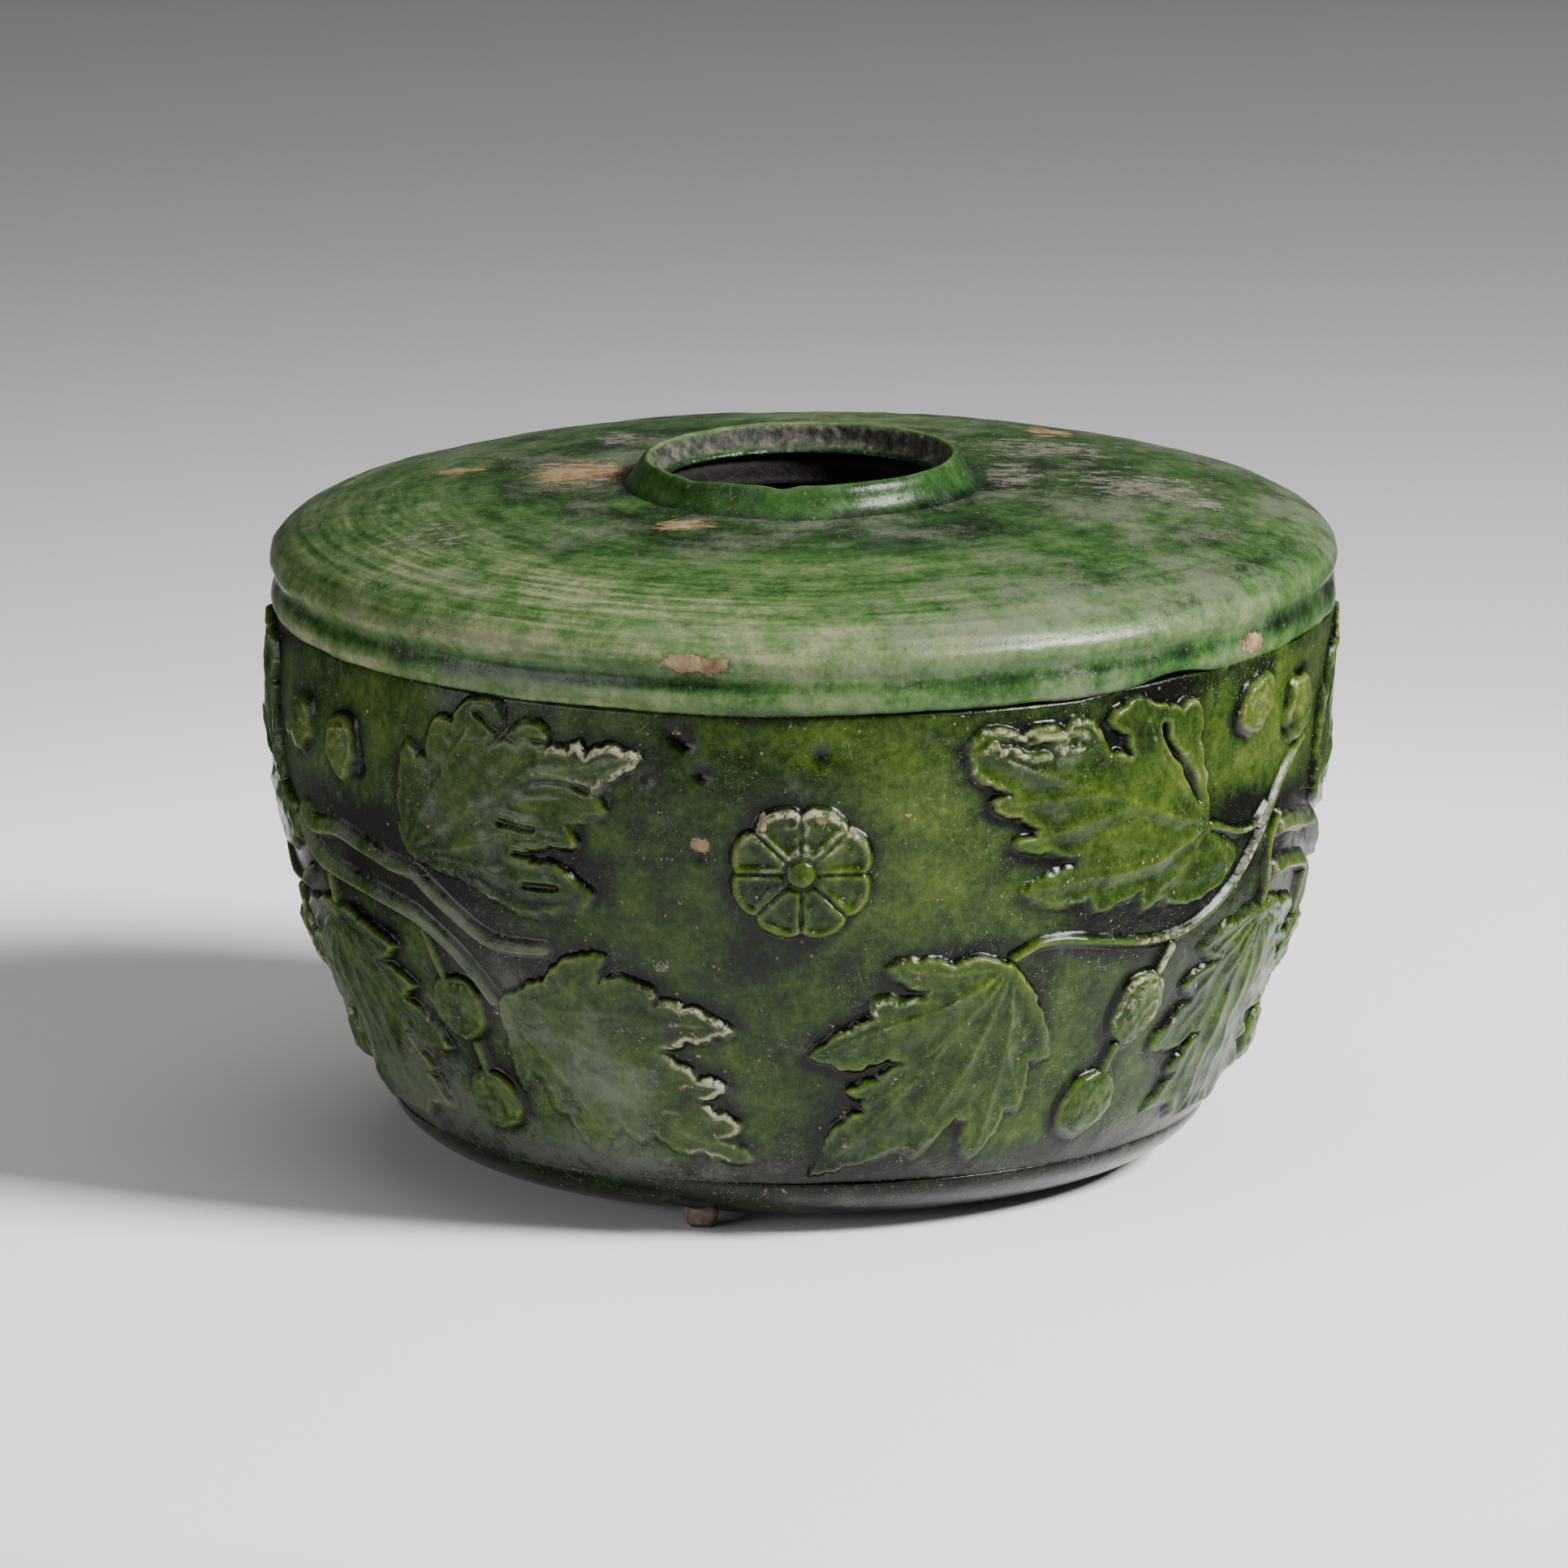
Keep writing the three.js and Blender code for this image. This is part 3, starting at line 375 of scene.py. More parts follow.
def berry(name, at, radius, stalk, move, lobes=0.07):
    reach = np.array([at, stalk])
    sprig = Sprig(name, reach.min(0) + (move - radius, -radius), reach.max(0) + (move + radius, radius))
    u, v = sprig.u, sprig.v
    across, up = u - at[0] - move, v - at[1]
    around = np.arctan2(up, across)
    away = np.hypot(across, up) * (1 + lobes * np.sin(2 * around + at[0]) + 0.4 * lobes * np.sin(5 * around))
    inside = radius - away + 0.3 * lumps(u, v, 1.7, 42)
    share = np.clip(away / radius, 0, 1)
    dome = BERRY_RISE * (0.3 + 0.7 * np.sqrt(np.clip(1 - share ** 2.4, 0, 1))) * ease(inside, -0.7, 0.6)
    knobs = 0.2 * lumps(u, v, 1.6, 41) + 0.12 * lumps(u, v, 0.7, 43) - 0.16 * hump(inside - 0.9, 0.3)
    sunk = -0.12 * hump(share, 0.4)
    height = dome + (knobs + sunk) * ease(inside, 0, 1.2)
    if np.hypot(stalk[0] - at[0], stalk[1] - at[1]) > radius:
        gap, _ = path_distance(np.array([at, stalk]) + (move, 0), u, v)
        stem_inside = BERRY_STEM_HALF - gap
        height = np.maximum(height, STEM_RISE * ease(stem_inside, -0.5, 0.6))
        inside = np.maximum(inside, stem_inside)
    sprig.settle(inside, height)


def rosette(name, at, worn_at):
    sprig = Sprig(name, (at - ROSETTE_RADIUS, ROSETTE_HEIGHT - ROSETTE_RADIUS),
                  (at + ROSETTE_RADIUS, ROSETTE_HEIGHT + ROSETTE_RADIUS))
    u, v = sprig.u, sprig.v
    across, up = u - at, v - ROSETTE_HEIGHT
    around = np.arctan2(up, across) * PETALS / 2 - math.pi / 2
    from_middle = 1 - np.arcsin(np.abs(np.cos(around))) * 2 / math.pi
    away = np.hypot(across, up) * (1 + 0.02 * lumps(u, v, 6, 53))
    inside = ROSETTE_RADIUS * (1 - 0.11 * from_middle ** 2.5) - away + 0.12 * lumps(u, v, 1.2, 51)
    from_groove = away * (1 - from_middle) * math.pi / PETALS
    worn = 1 - 0.85 * hump(np.hypot(across - worn_at[0], up - worn_at[1]), 3.6)
    worn = worn * (1 - 0.8 * hump(np.hypot(across - worn_at[0] - 4.6, up - worn_at[1] + 1.6), 2.4))
    rim = 0.12 * hump(from_groove - 0.45, 0.22) * ease(away, 2.2, 3.4) + 0.13 * hump(inside - 0.5, 0.35)
    groove = -0.55 * hump(from_groove, 0.19) * ease(away, 1.7, 2.4)
    dish = -0.4 * ease(np.minimum(inside, from_groove), 0.4, 1.5) * ease(away, 2.0, 4)
    boss = 0.6 * np.sqrt(np.clip(1 - (away / BOSS_RADIUS) ** 2, 0, 1)) - 0.45 * hump(away - BOSS_RADIUS - 0.35, 0.35)
    height = ROSETTE_EDGE * ease(inside, -0.6, 0.45) + (rim + groove + dish + boss) * ease(inside, -0.1, 0.5) * worn
    sprig.settle(inside, height + (0.16 * lumps(u, v, 1.7, 52) + 0.1 * lumps(u, v, 0.8, 54)) * ease(inside, 0, 1))


def stem(name, path, width, ledge=0.0):
    """A round stem, or with ledge a flat band that leans back, so that its upper side catches the light."""
    path = smooth_path(path)
    sprig = Sprig(name, path.min(0) - width, path.max(0) + width)
    away, along = path_distance(path, sprig.u, sprig.v)
    inside = width / 2 * (1.08 - 0.3 * along) - away + 0.06 * lumps(sprig.u, sprig.v, 2.2, 61)
    crest = STEM_RISE * (1 + 0.12 * lumps(sprig.u, sprig.v, 4, 62))
    if ledge:
        aside = (0.2 * width, 0.3 * width)
        to_upper, _ = path_distance(path + aside, sprig.u, sprig.v)
        to_lower, _ = path_distance(path - aside, sprig.u, sprig.v)
        crest = crest * (1 + ledge * np.clip((to_upper - to_lower) / (0.72 * width), -1, 1))
        sprig.settle(inside, crest * ease(inside, -0.5, 0.35))
    else:
        sprig.settle(inside, crest * ease(inside, -0.6, width / 2 + 0.1))


def moved(path, du):
    return [(u + du, v) for u, v in path]


def stems_to_the_right(left, centre, right):
    """Stems of a spray whose vine climbs to the right of its middle leaf."""
    from_left = MIDDLE + centre
    far = left + SPRAY_WIDTH
    climb = [(-13.7, 37.5), (-9.6, 40), (-6.2, 43.3), (-2.9, 47.3), (0.4, 51.4), (3.4, 53.9), (7.1, 55.6)]
    return {
        "vine": (moved(STALK_LEFT + moved(climb, from_left), left), STALK_WIDTH),
        "upper_stalk": (moved([(54, 49.1), (55.6, 48.6), (57.3, 48), (60.2, 47.2), (63.5, 47.4), (66.4, 49.4)], left),
                        PETIOLE_WIDTH),
        "middle_stalk": (moved([(0.6, 47.4), (-0.6, 44.8), (-0.8, 42.4), (0.2, 39.3), (0, 36.4)], left + from_left),
                         PETIOLE_WIDTH),
        "ribbon_upper": (moved([(centre + 2.2 - MIDDLE, 45.6)] + moved([(-60.3, 45.6)] + RIBBON_UPPER, right), far),
                         RIBBON_WIDTH),
        "ribbon_lower": (moved([(centre + 2.4 - MIDDLE, 40.2)] + moved([(-60.3, 40.3)] + RIBBON_LOWER, right), far),
                         RIBBON_WIDTH),
    }


def stems_to_the_left(left, centre, shift):
    """Stems of a spray whose two ribbons spring from one place left of its middle leaf."""
    far = left + SPRAY_WIDTH
    return {
        "vine": (moved(STALK_LEFT + [(52.6, 37.4), (55.4, 38.9)], left + shift), STALK_WIDTH),
        "middle_stalk": (moved([(centre - 0.2 - MIDDLE, 39.7), (centre - MIDDLE, 36.4)], far), PETIOLE_WIDTH),
        "ribbon_upper": (moved([(-75, 47), (-73.4, 45.7), (-71.5, 45.4), (-68.2, 46), (-65.3, 46.3), (-60.7, 45.6)]
                               + RIBBON_UPPER, far), RIBBON_WIDTH),
        "ribbon_lower": (moved([(-75.7, 45), (-74, 43), (-70.7, 41.4), (-66.5, 40.9), (-60.7, 40.3)]
                               + RIBBON_LOWER, far), RIBBON_WIDTH),
    }


def spray(index, centre, moves, buds, climbs):
    number = index + 1
    left = index * SPRAY_WIDTH
    far = left + SPRAY_WIDTH
    for name, drawing in LEAVES.items():
        side = left if "left" in name else far
        leaf(f"{name}_{number}", move=side + moves.get(name[5:], 0), **drawing)
    half = MIDDLE_LEAF["half"]
    whole = half + [MIDDLE_LEAF["point"]] + [(-u, v) for u, v in reversed(half)]
    veins = MIDDLE_LEAF["veins"] + [[(-u, v) for u, v in vein] for vein in MIDDLE_LEAF["veins"][1:]]
    leaf(f"leaf_middle_{number}", whole, veins, left + MIDDLE + centre)
    for name, drawing in BERRIES.items():
        side, which = (left, "left") if "left" in name else (far, "right")
        berry(f"{name}_of_{number}", move=side + moves.get(which, 0), **drawing)
    for i, at in enumerate(buds):
        berry(f"bud_{i + 1}_of_{number}", at, BUD_RADIUS, at, left + MIDDLE, lobes=BUD_LOBES)
    if climbs == "right":
        stems = stems_to_the_right(left, centre, moves["right"])
    else:
        stems = stems_to_the_left(left, centre, moves["lower_left"])
    for name, (path, width) in stems.items():
        stem(f"{name}_{number}", path, width, RIBBON_LEDGE if "ribbon" in name else 0)


for index, places in enumerate(SPRAY_PLACES):
    rosette(f"rosette_{index + 1}", index * SPRAY_WIDTH, ROSETTE_WEAR[index])
    spray(index, **places)


# How thick the glaze lies. It is thin on raised edges and gathers in hollows and above ledges. The map also holds
# painted shade: below and left of the sprigs the wall is darkened as the relief's shadow, together with the glaze
# pooled there.

COLUMNS = round(ROUND / CELL)
ROWS = math.ceil((SEAM + 2) / CELL)
EDGE_STEP = (round(0.8 / CELL), round(1.0 / CELL))   # how far from a sprig's edge its painted shadow and pooled glaze lie: rows up, columns across
# haze added on the ribbons: silvery bloom that also paints the grey sheen of the light they mirror
RIBBON_BLOOM_AND_SHEEN = 0.6
relief = np.zeros((ROWS, COLUMNS))
for sprig in Sprig.every:
    window = np.ix_(sprig.rows, sprig.columns % COLUMNS)
    relief[window] = np.maximum(relief[window], sprig.height)


def blurred(field, size):
    """The field smoothed over that many millimetres, going round the pot."""
    reach = int(3 * size / CELL)
    weights = hump(np.arange(-reach, reach + 1) * CELL, size)
    weights = weights / weights.sum()
    across = sum(w * np.roll(field, s, 1) for w, s in zip(weights, range(-reach, reach + 1)))
    tall = np.pad(across, ((reach, reach), (0, 0)), mode="edge")
    return sum(w * tall[i:i + field.shape[0]] for i, w in enumerate(weights))


def lifted(field, rise):
    """The field moved up the wall, so that what lies on a ledge is seen above it."""
    steps = int(rise / CELL)
    return np.vstack([np.repeat(field[:1], steps, 0), field[:-steps]])


# Deep pools: where on the drawing, half width, half height, depth
POOLS_RIGHT_OF_ROSETTE = [(48, 38.9, 13, 2.0, 0.7), (60.5, 49.8, 5.5, 2.4, 0.95), (19.5, 38.2, 9, 1.0, 0.5),
                          (30.5, 48.6, 5, 1.3, 0.5), (56.5, 27.5, 5, 9, 0.35), (47, 66.6, 6, 1.6, 0.9)]
POOLS_LEFT_OF_ROSETTE = [(-57, 48.4, 9, 2.4, 1.0), (-54, 42.4, 14, 2.2, 1.0), (-33, 35.4, 9, 2.0, 0.6),
                         (-41, 45.0, 9, 1.4, 0.5), (-28.5, 48.8, 5, 1.4, 0.6), (-25, 45.4, 3, 2.4, 0.4),
                         (-14, 18, 4, 3, 0.3), (-44.5, 31.5, 3, 3, 0.3)]
# Broad thin and thick areas of the front, written the same way
TONES = [(14, 54, 9, 12, -0.22), (-10, 38, 10, 15, 0.2), (20, 28, 9, 8, 0.05), (48, 52, 14, 8, -0.15),
         (-6, 62, 26, 3, 0.1), (61.8, 63, 2.4, 3.5, -0.45), (0, 20, 9, 9, 0.12), (0, 38, 9, 3.5, 0.3),
         (60, 58, 6, 5, -0.3), (68, 60, 6, 9, -0.4), (72, 44, 6, 16, -0.35), (-64, 58, 9, 6, -0.25),
         (-36, 58, 12, 9, -0.12)]
# Hazy places: silvery bloom, which low on the left also paints the grey sheen of the pale floor mirrored in the
# glaze; and places where the raised edges are rubbed
BLOOM_AND_SHEEN_PLACES = [(-28, 21, 9, 8, 0.8), (-38, 30, 5, 8, 0.5), (-24, 60, 8, 4, 0.4), (62, 40, 8, 12, 0.15),
         (30, 62, 9, 3, 0.4), (-10, 16, 8, 7, 0.35), (-40, 53, 15, 11, 0.35), (-55, 22, 9, 12, 0.3),
         (100, 20, 9, 8, 0.5), (200, 50, 12, 12, 0.4), (-64, 12, 15, 6, 1.0), (-32, 8, 20, 4, 0.8),
         (24, 8, 20, 4, 0.3)]
RUBS = [(0, 54, 8, 5, 0.9), (-13, 20, 6, 11, 1.5), (-24, 62, 7, 4, 1.0), (26, 63, 9, 4, 0.6), (49, 31, 7, 7, 0.7),
        (-33, 16, 6, 6, 0.5), (62, 44, 5, 14, 0.6), (28, 47, 8, 4, 0.3), (12, 33, 6, 4, 0.4), (124, 54, 8, 5, 0.8),
        (265, 54, 8, 5, 0.8), (95, 20, 9, 9, 0.6), (190, 40, 9, 12, 0.6), (300, 25, 9, 9, 0.6)]
level = np.arange(ROWS)[:, None] * CELL
around = np.arange(COLUMNS)[None, :] * CELL


def zones(places):
    """A map with the given amount at the middle of each place, fading over its half width and half height."""
    total = 0 * level + 0 * around
    for zu, zv, across, up, amount in places:
        total = total + amount * hump(round_gap(around, zu) / across, 1) * hump((level - zv) / up, 1)
    return total


clear_wall = 1 - ease(relief, 0.1, 0.6)
soft = blurred(relief, 0.8)
# painted shade: the wall below and left of a sprig, where the relief's shadow falls, darkened along with the glaze
# pooled there; upper_right is glaze pooled on the lit side
lower_left = np.roll(soft, (-EDGE_STEP[0], -EDGE_STEP[1]), (0, 1))
upper_right = np.roll(soft, EDGE_STEP, (0, 1))
before_rosette = around % SPRAY_WIDTH > SPRAY_WIDTH / 2
glaze_and_shade_map = (np.clip(2.6 * (blurred(relief, 0.45) - relief), -0.6, 0.35) + 0.3 * (blurred(relief, 1.4) - relief)
             + clear_wall * (0.2 * lower_left + 0.6 * np.where(before_rosette, upper_right, lower_left)
                             + 0.25 * lifted(blurred(relief, 2.4), 2.4) + 0.22 * blurred(relief, 5)))
pools = [(pu + panel * SPRAY_WIDTH, *rest) for drawn, panels in ((POOLS_RIGHT_OF_ROSETTE, range(SPRAYS)),
                                                                 (POOLS_LEFT_OF_ROSETTE, range(1, SPRAYS + 1)))
         for panel in panels for pu, *rest in drawn]
glaze_and_shade_map += zones(pools) * (1 - 0.75 * ease(relief, 0.2, 0.9))
for pit_u, pit_v, reach, depth in PITS:
    glaze_and_shade_map += 0.9 * hump(np.hypot(round_gap(around, pit_u), level - pit_v), 1.1 * reach)
edge_map = np.clip(-glaze_and_shade_map, 0, 1)
glaze_and_shade_map += 0.6 * ease(level, 13, 8) + 0.3 * hump(level - SEAM, 0.9) + zones(TONES)
WALL_LAYERS = {"glaze": glaze_and_shade_map, "haze": zones(BLOOM_AND_SHEEN_PLACES), "rub": zones(RUBS)}


def read_off(field, u, v):
    """The map's value at each place on the wall."""
    x, y = np.asarray(u, float) / ROUND * COLUMNS, np.clip(np.asarray(v, float) / CELL, 0, ROWS - 1.001)
    i, j = np.floor(x).astype(int), np.floor(y).astype(int)
    return four_way(lambda di, dj: field[j + dj, (i + di) % COLUMNS], x - i, y - j)


# Meshes

def on_pot(u, v, radius):
    """Points in space, in millimetres, from places on the drawing."""
    angle = np.asarray(u, float) / GIRTH
    return np.stack([radius * np.sin(angle), -radius * np.cos(angle), v + 0 * radius], -1).reshape(-1, 3)


def put(name, data):
    """Places it in the scene."""
    thing = bpy.data.objects.new(name, data)
    bpy.context.scene.collection.objects.link(thing)
    return thing


def make_piece(name, points, faces, material, slot, replaces, **layers):
    mesh = bpy.data.meshes.new(name)
    mesh.from_pydata((points * MM).tolist(), [], faces)
    mesh.update()
    mesh.shade_smooth()
    for key, values in layers.items():
        layer = mesh.attributes.new(key, "FLOAT", "POINT")
        layer.data.foreach_set("value", np.asarray(values, np.float32).ravel())
    piece = put(name, mesh)
    mesh.materials.append(material)
    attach(piece, "root")
    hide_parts(*replaces)


def raised_piece(sprig, material):
    """A closed sprig: its face in relief, its back let into the wall."""
    rows, columns = sprig.u.shape
    inside = sprig.inside > -SKIRT
    cells = inside[:-1, :-1] & inside[1:, :-1] & inside[:-1, 1:] & inside[1:, 1:]
    number = np.arange(rows * columns).reshape(rows, columns)
    i, j = np.nonzero(cells)
    a, b, c, d = number[i, j], number[i, j + 1], number[i + 1, j + 1], number[i + 1, j]
    back = rows * columns
    faces = [np.stack([a, b, c, d], 1), np.stack([d, c, b, a], 1) + back]
    framed = np.pad(cells, 1)
    for beyond, p, q in ((framed[i, j + 1], a, b), (framed[i + 1, j + 2], b, c),
                         (framed[i + 2, j + 1], c, d), (framed[i + 1, j], d, a)):
        open_side = ~beyond
        p, q = p[open_side], q[open_side]
        faces.append(np.stack([q, p, p + back, q + back], 1))
    faces = np.vstack(faces)
    base = wall_radius(sprig.u, sprig.v)
    points = np.vstack([on_pot(sprig.u, sprig.v, base + sprig.height), on_pot(sprig.u, sprig.v, base - SEAT)])
    used, renumbered = np.unique(faces, return_inverse=True)
    layers = {key: np.tile(read_off(field, sprig.u, sprig.v).ravel(), 2)[used]
              for key, field in {**WALL_LAYERS, "edge": edge_map}.items()}
    # the ribbons' extra haze paints their grey sheen of mirrored light, as well as bloom
    if "ribbon" in sprig.name:
        layers["haze"] += RIBBON_BLOOM_AND_SHEEN
    make_piece(sprig.name + "_glazed", points[used], renumbered.reshape(-1, 4).tolist(), material, "glazed_relief",
               [sprig.name], **layers)


def thrown_piece(name, radius, height, material, slot, closed=True, **layers):
    """A piece turned round the axis. Rows run along its profile, columns round the pot."""
    rows, columns = radius.shape
    u = np.tile(np.arange(columns) / columns * ROUND, (rows, 1))
    points = on_pot(u, height, radius)
    number = np.arange(rows * columns).reshape(rows, columns)
    following = np.roll(number, -1, 1)
    above, above_following = np.roll(number, -1, 0), np.roll(following, -1, 0)
    if not closed:
        number, following, above, above_following = number[:-1], following[:-1], above[:-1], above_following[:-1]
    faces = np.stack([number, following, above_following, above], -1).reshape(-1, 4).tolist()
    if not closed:
        faces += [list(range(columns - 1, -1, -1)), list(range((rows - 1) * columns, rows * columns))]
    make_piece(name + "_glazed", points, faces, material, slot, [name], **layers)


# Shader maths

class Value:
    """A socket that takes part in sums: each operation adds its own node."""

    def __init__(self, finish, socket):
        self.finish, self.socket = finish, socket

    def maths(self, operation, *values):
        return self.finish.node("Math", {"operation": operation}, dict(enumerate(values)))

    def __add__(self, other):
        return self.maths("ADD", self, other)

    def __sub__(self, other):
        return self.maths("SUBTRACT", self, other)

    def __rsub__(self, other):
        return self.maths("SUBTRACT", other, self)

    def __mul__(self, other):
        return self.maths("MULTIPLY", self, other)

    __radd__, __rmul__ = __add__, __mul__

    def most(self, other):
        return self.maths("MAXIMUM", self, other)

    def rise(self, low, high):
        """0 below low, 1 above high, smooth between. high may be the smaller."""
        return self.finish.node("MapRange", {"interpolation_type": "SMOOTHSTEP"},
                                {"Value": self, "From Min": low, "From Max": high})


class Finish:
    """A material in the making."""

    def __init__(self, name):
        self.material = bpy.data.materials.new(name)
        self.material.use_nodes = True
        self.tree = self.material.node_tree
        self.shader = self.tree.nodes["Principled BSDF"]

    def node(self, kind, settings=None, sockets=None, output=0):
        made = self.tree.nodes.new("ShaderNode" + kind)
        for setting, value in (settings or {}).items():
            if setting == "stops":
                ramp = made.color_ramp
                while len(ramp.elements) < len(value):
                    ramp.elements.new(0.5)
                for element, (position, colour) in zip(ramp.elements, value):
                    element.position, element.color = position, (*colour, 1)
            else:
                setattr(made, setting, value)
        for socket, value in (sockets or {}).items():
            if isinstance(value, Value):
                self.tree.links.new(value.socket, made.inputs[socket])
            else:
                made.inputs[socket].default_value = value
        return Value(self, made.outputs[output])

    def place(self):
        return self.node("TexCoord", output="Object")

    def stretched(self, place, factors):
        return self.node("VectorMath", {"operation": "MULTIPLY"}, {0: place, 1: factors})

    def turned(self, place):
        """Places strung out round the pot, so that a noise of them runs in thin strokes round its axis."""
        flat = self.stretched(place, (1, 1, 0))
        way = self.node("VectorMath", {"operation": "LENGTH"}, {0: flat}, "Value")
        height = self.node("SeparateXYZ", None, {"Vector": place}, "Z")
        across = self.node("CombineXYZ", None, {"Z": (way - height) * STROKE_FINENESS})
        round_it = self.stretched(self.node("VectorMath", {"operation": "NORMALIZE"}, {0: flat}), (STROKE_REACH,) * 3)
        return self.node("VectorMath", {"operation": "ADD"}, {0: round_it, 1: across})

    def noise(self, place, size, detail=4, roughness=0.55):
        """Cloudy noise from 0 to 1, its features about size millimetres across."""
        return self.node("TexNoise", None, {"Vector": place, "Scale": 1 / (size * MM), "Detail": detail,
                                            "Roughness": roughness})

    def cells(self, place, size, feature="F1"):
        return self.node("TexVoronoi", {"feature": feature}, {"Vector": place, "Scale": 1 / (size * MM)}, "Distance")

    def mix(self, first, second, share):
        return self.node("Mix", {"data_type": "RGBA"}, {"Factor": share, "A": first, "B": second}, "Result")

    def ramp(self, share, stops):
        return self.node("ValToRGB", {"stops": stops}, {"Fac": share})

    def wear(self, key, value):
        if isinstance(value, Value):
            self.tree.links.new(value.socket, self.shader.inputs[key])
        else:
            self.shader.inputs[key].default_value = value

    def bump(self, height, depth):
        return self.node("Bump", None, {"Height": height, "Distance": depth * MM})


def spots(finish, place, wobble, centres):
    """A mask of ragged patches. Each has its centre, its half widths along X, Y and Z, all in millimetres."""
    mask = None
    for centre, widths in centres:
        inverse = tuple(1 / (w * MM) for w in widths)
        scaled = finish.stretched(finish.node("VectorMath", {"operation": "SUBTRACT"},
                                              {0: place, 1: tuple(c * MM for c in centre)}), inverse)
        away = finish.node("VectorMath", {"operation": "LENGTH"}, {0: scaled}, "Value")
        spot = (away + wobble).rise(1.06, 0.94)
        mask = spot if mask is None else mask.most(spot)
    return mask


CLAY = (0.185, 0.122, 0.06)
CLAY_PALE = (0.3, 0.227, 0.132)
CLAY_DARK = (0.08, 0.045, 0.025)
SILVER = (0.11, 0.115, 0.1)
SILVER_PATCH = (0.2, 0.185, 0.145)
PALE_BLOOM = (0.15, 0.155, 0.115)
# pale specks, which also stand in as painted glints of light, and hair scratches take this colour
PALE_SPECK_GLINT_AND_SCRATCH = (0.28, 0.3, 0.24)
SCUFF = (0.29, 0.27, 0.18)
# the bare clay inside the pot, painted almost black: painted shade of its closed inside
INSIDE_IN_PAINTED_SHADE = [(0.3, (0.002, 0.0015, 0.001)), (0.5, (0.006, 0.004, 0.003)), (0.7, (0.014, 0.009, 0.006))]
CRUSTED_INSIDE = [(0.34, (0.007, 0.011, 0.007)), (0.46, (0.03, 0.036, 0.028)), (0.55, (0.07, 0.062, 0.048)),
                  (0.7, (0.18, 0.145, 0.1))]
SPECULAR = 0.2
LEAD_GLAZE_IOR = 1.52
STROKE_FINENESS = 4                      # how much thinner than long a brush stroke is
STROKE_REACH = 0.03


def clay_colour(finish, place):
    return finish.ramp(finish.noise(place, 2.2, 6, 0.65), [(0.3, CLAY_DARK), (0.48, CLAY), (0.7, CLAY_PALE)])


